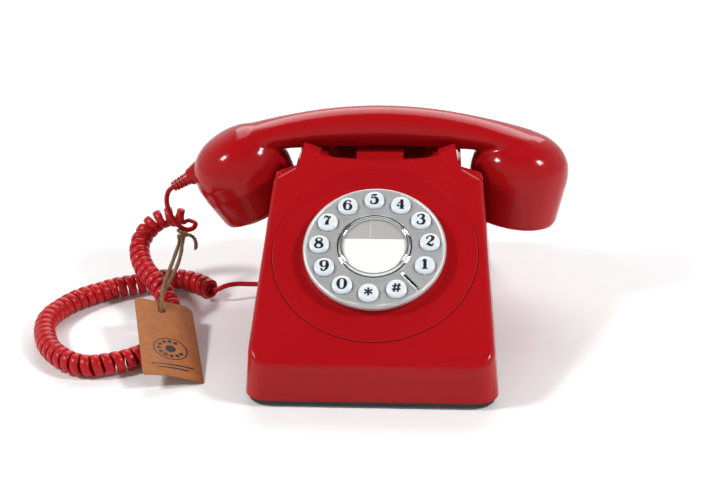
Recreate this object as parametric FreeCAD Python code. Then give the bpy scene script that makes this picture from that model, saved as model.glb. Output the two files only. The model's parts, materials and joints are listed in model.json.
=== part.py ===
import math
import os

from FreeCAD import Placement, Rotation, Vector
import Part

# Desk telephone with a round push-button dial, a lift-off handset and a curly cord.
# Units are millimetres. Origin: centre of the footprint, on the table.
# +X to the caller's right, +Y to the back, +Z up.

# ---- driving sizes: case -------------------------------------------------
CASE_DEPTH = 196.0
CASE_HALF_WIDTH = 66.5        # at the bottom edge of the cover
SIDE_DRAFT = 0.095            # how far the sides lean in, per mm of height
WALL = 3.0
CORNER_RADIUS = 12.0
EDGE_ROUND = 4.0
FOOT_HEIGHT = 1.0
FOOT_RADIUS = 8.0
BASE_THICKNESS = 3.2
BASE_INSET = 1.8
LIP_TOP = 25.4                # height of the upright front lip
FACE_ANGLE = 31.76            # slope of the dial face, degrees
DIAL_REACH = 69.8             # from the lip's top edge up the slope to the dial centre
CREST_REACH = 58.0            # from the dial centre up the slope to the shoulders
CREST_HEIGHT = 71.0           # behind the shoulders, where the deck begins to fall
REAR_HEIGHT = 50.0
DECK_HEIGHT = 61.0
DECK_RUN = 26.0
SHOULDER_HEIGHT = 92.3
SHOULDER_FALL = 0.38          # drop of the shoulders per mm towards the sides
HALF_DEPTH = CASE_DEPTH / 2
FRONT_Y = -HALF_DEPTH         # every place on the case is measured from its front or its back edge
DECK_START = FRONT_Y + 124.0
COVER_BOTTOM = FOOT_HEIGHT + BASE_THICKNESS

# ---- driving sizes: cradle and handset -----------------------------------
CRADLE_HALF_WIDTH = 44.0
CRADLE_FOOT = 45.0            # height where the cradle grows out of the case
EAR_REACH = 71.8              # slope distance from the dial centre to the ears' tips
SADDLE_REACH = 60.5           # and to the middle of the saddle between them
CRADLE_REAR = FRONT_Y + 175.0
REAR_EAR_HEIGHT = 97.5
TROUGH_FLOOR = 82.0
TROUGH_HALF_WIDTH = 33.0
TROUGH_SLOPE = 9.0            # how far the trough's ends lean in towards its floor
RECESS_START = FRONT_Y + 152.0
RECESS_HALF_WIDTH = 34.0
RECESS_BOTTOM = 57.0
RECESS_TOP = 75.0
EDGE_SEARCH = 2.0
HANDLE_Y = FRONT_Y + 144.0
HANDLE_MID_Z = 104.2
HANDLE_MID_HEIGHT = 22.0
HANDLE_MID_WIDTH = 28.0
HANDLE_REACH = 88.0
HANDLE_TOP_FALL = 5.9         # drop of the handle's top and underside at HANDLE_FALL_X
HANDLE_BOTTOM_FALL = 1.7
HANDLE_FALL_X = 53.0
CUP_X = 79.8                  # middle of the cap's seam
MOUTH_SEAM_Z = 72.8
EAR_SEAM_Z = 71.3
MOUTH_TILT = 28.0             # axis of the left cup from the vertical, degrees
EAR_TILT = 10.0               # and of the right one
CUP_RADIUS = 28.4
CUP_BULGE = 0.5               # the dome is this much wider just above the seam
CUP_DOME = 28.6
CAP_LENGTH = 21.5
MOUTH_RIM_RADIUS = 25.6
EAR_RIM_RADIUS = 27.2
HANDSET_WALL = 2.5
CUP_CLEARANCE = 3.0
REST_GAP = 0.3
MICROPHONE_RADIUS = 17.0
RECEIVER_RADIUS = 21.0

# ---- driving sizes: hook switch ------------------------------------------
PLUNGER_TRAVEL = 5.0
PLUNGER_HALF_WIDTH = 13.5
PLUNGER_FRONT = FRONT_Y + 129.0
PLUNGER_NECK_REAR = FRONT_Y + 145.0
PLUNGER_FLANGE = 2.2
NECK_HALF_WIDTH = PLUNGER_HALF_WIDTH - 1.5
SLIDE_GAP = 0.35
STEM_Y = FRONT_Y + 136.0
SWITCH_TOP = 55.0
SPRING_RADIUS = 4.6
SPRING_WIRE = 0.55            # radius of the wire
SPRING_TURNS = 5

# ---- driving sizes: dial and buttons -------------------------------------
SURROUND_RADIUS = 55.5
SURROUND_GAP = 0.3
DIAL_OPENING = 51.5
SEAT_DEPTH = 1.2
PLATE_RADIUS = 38.5
PLATE_TOP = 6.0
PLATE_SHEET = 1.2
BUTTON_RADIUS = 5.5
BUTTON_CIRCLE = 29.75
BUTTON_RISE = 2.5
BUTTON_TRAVEL = 1.5
BUTTON_GAP = 0.35
FIRST_BUTTON_ANGLE = -23.95
BUTTON_PITCH = 28.98
BUTTON_NAMES = ["1", "2", "3", "4", "5", "6", "7", "8", "9", "0", "star", "hash"]
STEM_RADIUS = 2.2
STEM_CLEARANCE = 0.08
STEM_END = -7.4
FLANGE_RADIUS = BUTTON_RADIUS + 0.9
FLANGE_THICKNESS = 1.9
FLANGE_TOP = PLATE_TOP - PLATE_SHEET - REST_GAP
FRAME_TOP = -WALL
FRAME_BOTTOM = FRAME_TOP - 3.0
MEMBRANE_RADIUS = 37.0
MEMBRANE_TOP = STEM_END - BUTTON_TRAVEL - REST_GAP
MEMBRANE_BOTTOM = MEMBRANE_TOP - 1.0
BEZEL_RADIUS = 20.5
CARD_RADIUS = 17.2
STOP_ANGLE = 311.5
STOP_START = 22.5
KEYPAD_FRAME_RADIUS = 57.0
KEYPAD_SCREW_CIRCLE = 53.6
KEYPAD_SCREW_RADIUS = 0.95
KEYPAD_BOARD_RADIUS = 43.0

# ---- driving sizes: fixings, sockets and boards --------------------------
POST_X = CASE_HALF_WIDTH - 7.5
POST_Y = HALF_DEPTH - 11.5
POST_RADIUS = 4.5
POST_TOP = 24.0
SCREW_RADIUS = 1.5
SCREW_HEAD_RADIUS = 2.9
JACK_Y = FRONT_Y + 125.0
JACK_Z = 10.0
PLUG_HALF_Y = 3.8
PLUG_HALF_Z = 3.3
PLUG_OUT = CASE_HALF_WIDTH + 5.5      # the plug's back face, from the middle of the telephone
PLUG_IN = CASE_HALF_WIDTH - 11.5      # and its nose
PLUG_GAP = 0.2
SOCKET_IN = CASE_HALF_WIDTH - 20.5
LINE_JACK_X = 30.0
LINE_JACK_HALF = 6.5
LINE_JACK_DEPTH = 9.0
SWITCH_X = -26.0
SWITCH_Z = 14.0
SWITCH_TRAVEL = 4.0
BOARD_HALF_X = 48.0
BOARD_FRONT = FRONT_Y + 16.0
BOARD_REAR = FRONT_Y + 90.0
BOARD_Z = 10.0
BOARD_THICKNESS = 1.6
BOARD_STUD_X = 42.0
BOARD_STUD_INSET = 6.0
BOARD_STUD_RADIUS = 3.2
WEIGHT_FRONT = FRONT_Y + 96.0
WEIGHT_REAR = FRONT_Y + 124.0

# ---- driving sizes: bell -------------------------------------------------
GONG_X = 25.0
GONG_Y = HALF_DEPTH - 32.0
GONG_RADIUS = 19.0
GONG_SEAT = 27.0
GONG_POST_RADIUS = 5.0
GONG_SCREW_RADIUS = 2.4
HAMMER_PIVOT_Y = HALF_DEPTH - 8.0
HAMMER_Z = 20.0
PIVOT_RADIUS = 1.5
BOBBIN_HEIGHT = 9.0
RINGER_REAR = HALF_DEPTH - WALL - LINE_JACK_DEPTH - 0.5

# ---- driving sizes: cord and tag -----------------------------------------
COIL_DIAMETER = 12.4
LEAD_DIAMETER = 3.0
TWINE_DIAMETER = 1.6
GLAND_LENGTH = 12.0
BOOT_LENGTH = 11.0
BOOT_RIBS = 4
TAG_THICKNESS = 0.6
TAG_CORNER_RADIUS = 5.0
TAG_HOLE_RADIUS = 2.6
TAG_HOLE_INSET = 9.5
SLOPE = math.radians(FACE_ANGLE)
DIAL_CENTRE = Vector(0, FRONT_Y + DIAL_REACH * math.cos(SLOPE), LIP_TOP + DIAL_REACH * math.sin(SLOPE))
DIAL_PLACE = Placement(DIAL_CENTRE, Rotation(Vector(1, 0, 0), FACE_ANGLE))
X_AXIS = Vector(1, 0, 0)
Y_AXIS = Vector(0, 1, 0)
Z_AXIS = Vector(0, 0, 1)
CORD_OUT = Vector(-0.866, -0.06, -0.496)   # the way the cord leaves the handset
GLAND_START = Vector(-103.5, HANDLE_Y + 0.2, 76.6)
TAG_CORNER = Vector(-121.0, -83.8, 11.6)   # lower left corner of the card
TAG_ACROSS = Vector(30.6, 9.5, -10.7)
TAG_ALONG = Vector(-16.8, 66.4, 11.6)

# ---- routes: centre lines of the wound cord, its two leads and the tag's twine
UPPER_LEAD = [
    (-126.6, 44.6, 63.4), (-128.2, 43.6, 58.0), (-127.6, 42.6, 51.6), (-125.0, 42.0, 45.8),
    (-121.5, 42.2, 40.6), (-117.4, 43.4, 37.4), (-113.2, 45.6, 37.6), (-112.0, 48.8, 40.0),
    (-116.2, 50.1, 41.0), (-120.8, 50.77, 41.96),
]
COIL_ROUTE = [
    (-121.0, 50.8, 42.0), (-128.5, 52.0, 43.2), (-136.8, 52.0, 39.4), (-143.0, 49.5, 33.8),
    (-146.2, 42.5, 29.2), (-145.0, 33.0, 25.4), (-140.4, 23.5, 21.8), (-132.8, 12.5, 19.0),
    (-124.8, 2.5, 15.4), (-119.4, -8.0, 10.6), (-117.6, -20.0, 7.2), (-117.8, -33.0, 6.4),
    (-121.0, -47.5, 6.4), (-129.5, -57.6, 6.4), (-141.0, -65.0, 6.4), (-154.0, -69.2, 6.4),
    (-167.5, -64.2, 6.4), (-179.5, -51.5, 6.4), (-187.5, -34.5, 6.4), (-190.8, -17.8, 6.4),
    (-187.4, -3.0, 6.4), (-178.0, 12.0, 6.4), (-165.0, 23.4, 6.4), (-151.5, 31.0, 6.4),
    (-137.0, 38.2, 6.4), (-123.0, 41.6, 6.4), (-110.0, 35.0, 6.4), (-100.5, 23.6, 6.4),
]
LOWER_LEAD = [
    (-100.5, 23.6, 6.4), (-97.5, 20.0, 6.4), (-92.0, 20.2, 8.6), (-86.0, 24.0, 9.8), (-79.2, JACK_Y, JACK_Z),
    (-PLUG_OUT, JACK_Y, JACK_Z),
]
STRING_ROUTE = [
    (-120.0, 40.0, 37.2), (-120.8, 28.0, 33.0), (-122.0, 15.0, 29.4), (-123.4, 2.0, 26.0),
    (-123.8, -9.0, 22.6), (-122.8, -21.0, 19.6),
]

# outline of the handle from its back edge over the top, as shares of its half width and half height
HANDLE_OUTLINE = [
    (1.0, 0.06), (0.86, 0.52), (0.56, 0.88), (0.0, 1.0), (-0.56, 0.88), (-0.86, 0.52),
    (-1.0, 0.06), (-0.84, -0.52), (-0.56, -0.90), (0.0, -1.0), (0.56, -0.90), (0.84, -0.52),
]

# points near the middle of the cradle's edges, and how far each group is rounded
CRADLE_EDGES = [
    (1.5, [(33.0, 122.3, 96.5), (27.9, 117.3, 95.5), (18.6, 117.3, 94.6), (6.8, 117.3, 94.1)]),
    (1.5, [(24.0, 146.4, 82.0), (28.5, 117.3, 88.0), (0, 117.3, 82.0)]),
    (1.0, [(36.0, 156.5, 91.7), (31.3, 144.0, 91.7)]),
    (1.2, [(46.3, 144.0, 91.7)]),
    (1.0, [(46.3, 173.1, 89.0)]),
]

parts = {}


def box(x0, x1, y0, y1, z0, z1):
    return Part.makeBox(x1 - x0, y1 - y0, z1 - z0, Vector(x0, y0, z0))


def rod(radius, z0, z1, x=0.0, y=0.0):
    return Part.makeCylinder(radius, z1 - z0, Vector(x, y, z0))


def revolve(points):
    """Solid turned about Z from (radius, height) points."""
    outline = [Vector(r, 0, z) for r, z in points]
    face = Part.Face(Part.makePolygon(outline + outline[:1]))
    return face.revolve(Vector(0, 0, 0), Z_AXIS, 360)


def prism_x(points, half_length):
    """Solid along X from (y, z) points."""
    outline = [Vector(-half_length, y, z) for y, z in points]
    face = Part.Face(Part.makePolygon(outline + outline[:1]))
    return face.extrude(Vector(2 * half_length, 0, 0))


def prism_y(points, y0, y1):
    """Solid along Y from (x, z) points."""
    outline = [Vector(x, y0, z) for x, z in points]
    face = Part.Face(Part.makePolygon(outline + outline[:1]))
    return face.extrude(Vector(0, y1 - y0, 0))


def fuse(shapes):
    return shapes[0].multiFuse(shapes[1:]).removeSplitter()


def rounded_outline(half_x, half_y, radius, z):
    """Closed wire of a rectangle with round corners at height z."""
    corner = [(1, 1), (-1, 1), (-1, -1), (1, -1)]
    edges = []
    last = None
    first = None
    for i, (sx, sy) in enumerate(corner):
        cx = sx * (half_x - radius)
        cy = sy * (half_y - radius)
        places = []
        for turn in (0, 45, 90):
            x, y = polar(radius, i * 90 + turn)
            places.append(Vector(cx + x, cy + y, z))
        p0, pm, p1 = places
        if last is not None:
            edges.append(Part.makeLine(last, p0))
        else:
            first = p0
        edges.append(Part.Arc(p0, pm, p1).toShape())
        last = p1
    edges.append(Part.makeLine(last, first))
    return Part.Wire(edges)


def plate(half_x, half_y, radius, z0, z1):
    return Part.Face(rounded_outline(half_x, half_y, radius, z0)).extrude(Vector(0, 0, z1 - z0))


def on_face(shape):
    """Moves a shape made about the dial's own axis onto the sloping face."""
    moved = shape.copy()
    moved.Placement = DIAL_PLACE.multiply(moved.Placement)
    return moved


def slope_point(reach, lift=0.0):
    """(y, z) of a point on the face plane, up the slope from the dial centre."""
    y = DIAL_CENTRE.y + reach * math.cos(SLOPE) - lift * math.sin(SLOPE)
    z = DIAL_CENTRE.z + reach * math.sin(SLOPE) + lift * math.cos(SLOPE)
    return (y, z)


def polar(radius, degrees):
    return (radius * math.cos(math.radians(degrees)), radius * math.sin(math.radians(degrees)))


def handle_bottom(x):
    return HANDLE_MID_Z - HANDLE_MID_HEIGHT / 2 - HANDLE_BOTTOM_FALL * (x / HANDLE_FALL_X) ** 2


def handle_top(x):
    return HANDLE_MID_Z + HANDLE_MID_HEIGHT / 2 - HANDLE_TOP_FALL * (x / HANDLE_FALL_X) ** 2


# ---- case ----------------------------------------------------------------

def wedge_profile(inset):
    """Side view of the case without the cradle, drawn in by the wall."""
    crest = slope_point(CREST_REACH)
    outline = [
        (-HALF_DEPTH, COVER_BOTTOM - 20),
        (-HALF_DEPTH, LIP_TOP),
        crest,
        (crest[0] + 5, crest[1] - 0.5),
        (DECK_START, CREST_HEIGHT),
        (DECK_START + DECK_RUN, DECK_HEIGHT - 2),
        (HALF_DEPTH, REAR_HEIGHT),
        (HALF_DEPTH, COVER_BOTTOM - 20),
    ]
    wire = Part.makePolygon([Vector(-90, y, z) for y, z in outline + outline[:1]])
    if inset:
        wire = wire.makeOffset2D(-inset, join=2)
    return Part.Face(wire).extrude(Vector(180, 0, 0))


def tapered_block(inset):
    """Footprint drawn in with height: the case's sides and corners."""
    top = 110.0
    bottom = COVER_BOTTOM - (10 if inset else 0)
    wires = []
    for z in (bottom, top):
        half_x = CASE_HALF_WIDTH - (z - COVER_BOTTOM) * SIDE_DRAFT - inset
        wires.append(rounded_outline(half_x, HALF_DEPTH - inset, CORNER_RADIUS - inset, z))
    return Part.makeLoft(wires, True, True)


def shoulder_roof(inset):
    """Front view limit: the shoulders fall a little towards the sides."""
    inner = SHOULDER_HEIGHT - inset
    outer = inner - SHOULDER_FALL * 35
    outline = [(-80, -20), (80, -20), (80, outer), (45, inner), (-45, inner), (-80, outer)]
    return prism_y(outline, -HALF_DEPTH - 5, HALF_DEPTH + 5)


def cradle_block(inset):
    """Raised middle that carries the handset, before its trough is cut."""
    foot = CRADLE_FOOT
    side = CRADLE_HALF_WIDTH - inset
    flare = [(3.2, foot), (2.4, 92.0), (0.7, 94.6), (-0.4, 98.5), (-2.2, 102.2), (-2.8, 112.0)]
    front_view = [(-side - out, z) for out, z in flare] + [(side + out, z) for out, z in reversed(flare)]
    front = slope_point(-10, -inset)
    top = slope_point(EAR_REACH + 6, -inset)
    rear = CRADLE_REAR - inset
    side_view = [
        (front[0], foot),
        front,
        top,
        (rear - 6, top[1]),
        (rear, REAR_EAR_HEIGHT - 12),
        (rear + 5, foot),
    ]
    return prism_y(front_view, FRONT_Y + 38, FRONT_Y + 198).common(prism_x(side_view, 70))


def saddle_cut(inset):
    """Everything above the saddle line that dips between the ears."""
    reach = [
        (43.0, 72.8), (42.0, 71.8), (37.8, 69.0), (32.0, 64.6), (23.8, 62.3), (13.5, 61.0),
        (0.0, SADDLE_REACH),
    ]
    line = [(x, slope_point(r)[1] - inset) for x, r in reach]
    left = [(-x, z) for x, z in line]
    right = [(x, z) for x, z in reversed(line[:-1])]
    outline = left + right
    outline = [(-60, left[0][1])] + outline + [(60, right[-1][1]), (60, 130), (-60, 130)]
    return prism_y(outline, FRONT_Y + 38, FRONT_Y + 218)


def trough_cut(inset):
    """Channel across the cradle for the handle, deeper between the side rests."""
    seat = handle_bottom(CRADLE_HALF_WIDTH) - REST_GAP - inset
    half = HANDLE_MID_WIDTH / 2 + 1.5
    rear_top = REAR_EAR_HEIGHT + 6
    notch = [
        (HANDLE_Y - half + 3 - inset, seat),
        (HANDLE_Y + half - 3 + inset, seat),
        (HANDLE_Y + half + 3 + inset, REAR_EAR_HEIGHT - inset),
        (CRADLE_REAR + 30, REAR_EAR_HEIGHT - 3 - inset),
        (CRADLE_REAR + 30, 130),
        (HANDLE_Y - half - 8 - inset, 130),
        (HANDLE_Y - half - 2 - inset, rear_top - 6 - inset),
    ]
    side_notch = prism_x(notch, 70)
    floor = TROUGH_FLOOR - inset
    half_x = TROUGH_HALF_WIDTH + inset
    front_y = slope_point(SADDLE_REACH)[0] + 6.5 - inset
    well_view = [
        (-half_x, 130), (-half_x, floor + 12), (-half_x + TROUGH_SLOPE, floor),
        (half_x - TROUGH_SLOPE, floor), (half_x, floor + 12), (half_x, 130),
    ]
    well = prism_y(well_view, front_y, HANDLE_Y + half + inset)
    return [side_notch, well]


def cup_axis(side):
    tilt = math.radians(MOUTH_TILT if side < 0 else EAR_TILT)
    return Vector(-side * math.sin(tilt), 0, -math.cos(tilt))


def at_cup(shape, side):
    """Places a shape made about Z (mouth downwards) on a cup's axis."""
    moved = shape.copy()
    turn = Rotation(Vector(0, 0, -1), cup_axis(side))
    seam = MOUTH_SEAM_Z if side < 0 else EAR_SEAM_Z
    moved.Placement = Placement(Vector(side * CUP_X, HANDLE_Y, seam), turn)
    return moved


def cup_well(side, inset):
    radius = CUP_RADIUS + CUP_BULGE + CUP_CLEARANCE + inset
    return at_cup(rod(radius, -CAP_LENGTH - 5.0 - CUP_CLEARANCE - inset, 60), side)


def hand_recess(inset):
    """Hollow behind the cradle for the fingers when the telephone is carried."""
    half = RECESS_HALF_WIDTH + inset
    return box(-half, half, RECESS_START - inset, HALF_DEPTH + 22, RECESS_BOTTOM - inset, RECESS_TOP + inset)


def case_form(inset):
    body = wedge_profile(inset).common(tapered_block(inset)).common(shoulder_roof(inset))
    return body


def carve(body, inset):
    cradle = cradle_block(inset).cut(saddle_cut(inset))
    whole = body.fuse(cradle)
    cuts = trough_cut(inset) + [cup_well(-1, inset), cup_well(1, inset), hand_recess(inset)]
    return whole.cut(cuts)


def round_case(body):
    """Rounds the outer edges of the case above its bottom edge."""
    edges = []
    for edge in body.Edges:
        mid = edge_middle(edge)
        if edge.BoundBox.ZMax < COVER_BOTTOM + 0.1:
            continue
        if mid.y > DECK_START - 2 and mid.y < HALF_DEPTH - 2:
            continue
        edges.append(edge)
    return body.makeFillet(EDGE_ROUND, edges)


def cover_openings():
    cuts = [
        on_face(rod(DIAL_OPENING, -WALL - 3, 6)),
        on_face(rod(SURROUND_RADIUS + SURROUND_GAP, -SEAT_DEPTH, 6)),
        box(-NECK_HALF_WIDTH - SLIDE_GAP, NECK_HALF_WIDTH + SLIDE_GAP, PLUNGER_FRONT + 1 - SLIDE_GAP,
            PLUNGER_NECK_REAR + SLIDE_GAP, TROUGH_FLOOR - WALL - 4, TROUGH_FLOOR + 4),
        box(-CASE_HALF_WIDTH - 5, -CASE_HALF_WIDTH + WALL + 6,
            JACK_Y - PLUG_HALF_Y - 2 * PLUG_GAP, JACK_Y + PLUG_HALF_Y + 2 * PLUG_GAP,
            JACK_Z - PLUG_HALF_Z - 2 * PLUG_GAP, JACK_Z + PLUG_HALF_Z + 2 * PLUG_GAP),
        box(LINE_JACK_X - LINE_JACK_HALF, LINE_JACK_X + LINE_JACK_HALF,
            HALF_DEPTH - WALL - 5, HALF_DEPTH + 5, 6.5, 20.5),
        box(SWITCH_X - 7, SWITCH_X + 7, HALF_DEPTH - WALL - 5, HALF_DEPTH + 5,
            SWITCH_Z - 2.5, SWITCH_Z + 2.5),
    ]
    for angle in (45, 135, 225, 315):
        x, y = polar(KEYPAD_SCREW_CIRCLE, angle)
        cuts.append(on_face(rod(1.0, -WALL - 1, -SEAT_DEPTH - 0.5, x, y)))
    return cuts


def post_places():
    return [(sx * POST_X, sy * POST_Y) for sx in (-1, 1) for sy in (-1, 1)]


def edge_middle(edge):
    return edge.valueAt((edge.FirstParameter + edge.LastParameter) / 2)


def mirrored(spots):
    return spots + [(-x, y, z) for x, y, z in spots if x]


def soften(body, radius, spots):
    """Rounds the edges whose middles lie near the given spots."""
    edges = []
    for x, y, z in spots:
        spot = Vector(x, FRONT_Y + y, z)
        near = min(body.Edges, key=lambda edge: (edge_middle(edge) - spot).Length)
        if (edge_middle(near) - spot).Length < EDGE_SEARCH:
            edges.append(near)
    return body.makeFillet(radius, edges) if edges else body


def make_cover():
    outer = carve(round_case(case_form(0)), 0)
    for radius, spots in CRADLE_EDGES:
        outer = soften(outer, radius, mirrored(spots))
    inner = carve(case_form(WALL), WALL)
    shell = outer.cut(inner)
    posts = [rod(POST_RADIUS, COVER_BOTTOM, POST_TOP, x, y) for x, y in post_places()]
    shell = shell.multiFuse([post.common(outer) for post in posts])
    holes = [rod(SCREW_RADIUS + 0.05, COVER_BOTTOM - 1, POST_TOP - 4, x, y) for x, y in post_places()]
    parts["cover"] = shell.cut(cover_openings() + holes)


def make_base():
    half_x = CASE_HALF_WIDTH - BASE_INSET
    half_y = HALF_DEPTH - BASE_INSET
    pan = plate(half_x, half_y, CORNER_RADIUS - BASE_INSET, FOOT_HEIGHT, COVER_BOTTOM)
    rows = (BOARD_FRONT + BOARD_STUD_INSET, BOARD_REAR - BOARD_STUD_INSET)
    studs = []
    for x in (-BOARD_STUD_X, BOARD_STUD_X):
        for y in rows:
            studs.append(rod(BOARD_STUD_RADIUS, COVER_BOTTOM, BOARD_Z, x, y))
    body = fuse([pan] + studs)
    holes = []
    for x, y in post_places():
        holes.append(rod(SCREW_RADIUS + 0.2, 0, 10, x, y))
        holes.append(rod(SCREW_HEAD_RADIUS + 0.3, 0, FOOT_HEIGHT + 1.6, x, y))
    parts["base_plate"] = body.cut(holes)
    foot_x = CASE_HALF_WIDTH - 20.5
    foot_y = HALF_DEPTH - 20.0
    feet = [rod(FOOT_RADIUS, 0, FOOT_HEIGHT, x, y) for x in (-foot_x, foot_x) for y in (-foot_y, foot_y)]
    parts["rubber_feet"] = Part.makeCompound(feet)
    screws = []
    for x, y in post_places():
        head = rod(SCREW_HEAD_RADIUS, FOOT_HEIGHT + 0.2, FOOT_HEIGHT + 1.6, x, y)
        shank = rod(SCREW_RADIUS, FOOT_HEIGHT + 1.6, POST_TOP - 6, x, y)
        screws.append(head.fuse(shank))
    parts["base_screws"] = Part.makeCompound(screws)


def button_angle(index):
    return FIRST_BUTTON_ANGLE + index * BUTTON_PITCH


def button_spot(index):
    return polar(BUTTON_CIRCLE, button_angle(index))


def make_dial():
    bore = BUTTON_CIRCLE + FLANGE_RADIUS + BUTTON_GAP
    surround = revolve([
        (bore, -WALL), (DIAL_OPENING - 0.3, -WALL), (DIAL_OPENING - 0.3, -SEAT_DEPTH),
        (SURROUND_RADIUS, -SEAT_DEPTH), (SURROUND_RADIUS, 0.3), (SURROUND_RADIUS - 0.5, 0.8),
        (SURROUND_RADIUS - 1.3, 0.7), (SURROUND_RADIUS - 6.0, -0.1), (SURROUND_RADIUS - 11.0, -0.2),
        (40.0, 0.3), (bore + 1.2, 1.0), (bore + 1.2, 2.6), (bore, 2.6),
    ])
    parts["dial_surround"] = on_face(surround)
    sheet = revolve([
        (0, PLATE_TOP - PLATE_SHEET), (PLATE_RADIUS - 1.6, PLATE_TOP - PLATE_SHEET),
        (PLATE_RADIUS - 1.2, 3.0), (PLATE_RADIUS - 0.3, 3.0), (PLATE_RADIUS, 3.6),
        (PLATE_RADIUS, PLATE_TOP - 0.8),
        (PLATE_RADIUS - 0.5, PLATE_TOP + 0.1), (PLATE_RADIUS - 1.2, PLATE_TOP + 0.3),
        (PLATE_RADIUS - 2.0, PLATE_TOP), (0, PLATE_TOP),
    ])
    holes = [rod(BUTTON_RADIUS + BUTTON_GAP, 0, 12, *button_spot(i)) for i in range(len(BUTTON_NAMES))]
    parts["dial_plate"] = on_face(sheet.cut(holes))
    bezel = revolve([
        (CARD_RADIUS + 0.2, PLATE_TOP), (BEZEL_RADIUS, PLATE_TOP), (BEZEL_RADIUS - 0.2, PLATE_TOP + 0.8),
        (BEZEL_RADIUS - 1.1, PLATE_TOP + 1.6), (CARD_RADIUS - 0.3, PLATE_TOP + 1.9),
        (CARD_RADIUS - 0.9, PLATE_TOP + 1.5), (CARD_RADIUS - 0.9, PLATE_TOP + 1.1),
        (CARD_RADIUS + 0.2, PLATE_TOP + 1.1),
    ])
    parts["card_bezel"] = on_face(bezel)
    parts["number_card"] = on_face(rod(CARD_RADIUS, PLATE_TOP, PLATE_TOP + 0.3))
    parts["card_window"] = on_face(rod(CARD_RADIUS, PLATE_TOP + 0.3, PLATE_TOP + 1.1))
    tip = PLATE_RADIUS - 2.1
    blade = prism_x([
        (STOP_START, PLATE_TOP), (tip, PLATE_TOP), (tip, PLATE_TOP + 0.8), (tip - 1.5, PLATE_TOP + 1.5),
        (STOP_START + 2, PLATE_TOP + 1.5), (STOP_START, PLATE_TOP + 0.6),
    ], 0.6)
    blade.rotate(Vector(0, 0, 0), Z_AXIS, STOP_ANGLE - 90)
    parts["finger_stop"] = on_face(blade)


def make_buttons():
    top = PLATE_TOP + BUTTON_RISE
    for i, name in enumerate(BUTTON_NAMES):
        cap = revolve([
            (0, STEM_END), (STEM_RADIUS, STEM_END), (STEM_RADIUS, FLANGE_TOP - FLANGE_THICKNESS),
            (FLANGE_RADIUS, FLANGE_TOP - FLANGE_THICKNESS), (FLANGE_RADIUS, FLANGE_TOP),
            (BUTTON_RADIUS, FLANGE_TOP), (BUTTON_RADIUS, top - 1.4), (BUTTON_RADIUS - 0.4, top - 0.7),
            (BUTTON_RADIUS - 1.4, top - 0.25), (0, top),
        ])
        x, y = button_spot(i)
        cap.translate(Vector(x, y, 0))
        parts["button_" + name] = on_face(cap)


def make_keypad():
    disc = rod(KEYPAD_FRAME_RADIUS, FRAME_BOTTOM, FRAME_TOP)
    hub = rod(BEZEL_RADIUS, FRAME_TOP, PLATE_TOP - PLATE_SHEET)
    studs = [rod(2.3, MEMBRANE_BOTTOM, FRAME_BOTTOM, *polar(40.0, a)) for a in (0, 90, 180, 270)]
    body = fuse([disc, hub] + studs)
    bore = STEM_RADIUS + STEM_CLEARANCE
    holes = [rod(bore, -20, 20, *button_spot(i)) for i in range(len(BUTTON_NAMES))]
    screw_spots = [polar(KEYPAD_SCREW_CIRCLE, a) for a in (45, 135, 225, 315)]
    holes += [rod(KEYPAD_SCREW_RADIUS + 0.25, -20, 0, x, y) for x, y in screw_spots]
    parts["keypad_frame"] = on_face(body.cut(holes))
    parts["keypad_membrane"] = on_face(rod(MEMBRANE_RADIUS, MEMBRANE_BOTTOM, MEMBRANE_TOP))
    board_back = MEMBRANE_BOTTOM - BOARD_THICKNESS
    parts["keypad_board"] = on_face(rod(KEYPAD_BOARD_RADIUS, board_back, MEMBRANE_BOTTOM))
    screws = []
    for x, y in screw_spots:
        head = rod(2.2, FRAME_BOTTOM - 1.6, FRAME_BOTTOM, x, y)
        screws.append(head.fuse(rod(KEYPAD_SCREW_RADIUS, FRAME_BOTTOM, -SEAT_DEPTH - 0.6, x, y)))
    parts["keypad_screws"] = on_face(Part.makeCompound(screws))


def make_boards():
    board = box(-BOARD_HALF_X, BOARD_HALF_X, BOARD_FRONT, BOARD_REAR, BOARD_Z, BOARD_Z + BOARD_THICKNESS)
    parts["main_board"] = board
    top = BOARD_Z + BOARD_THICKNESS
    bits = [
        box(-30, -6, FRONT_Y + 68, FRONT_Y + 86, top, top + 17),
        box(-4, 12, FRONT_Y + 38, FRONT_Y + 50, top, top + 2.2),
        box(22, 36, FRONT_Y + 28, FRONT_Y + 34, top, top + 5),
        rod(5.0, top, top + 12, 24, FRONT_Y + 76),
        rod(4.0, top, top + 9, 36, FRONT_Y + 72),
        rod(3.0, top, top + 6, -34, FRONT_Y + 42),
        rod(3.0, top, top + 6, -26, FRONT_Y + 34),
    ]
    parts["board_components"] = Part.makeCompound(bits)
    weight = box(-34, 34, WEIGHT_FRONT, WEIGHT_REAR, COVER_BOTTOM, COVER_BOTTOM + 9)
    parts["base_weight"] = weight


# ---- hook switch ---------------------------------------------------------


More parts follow.
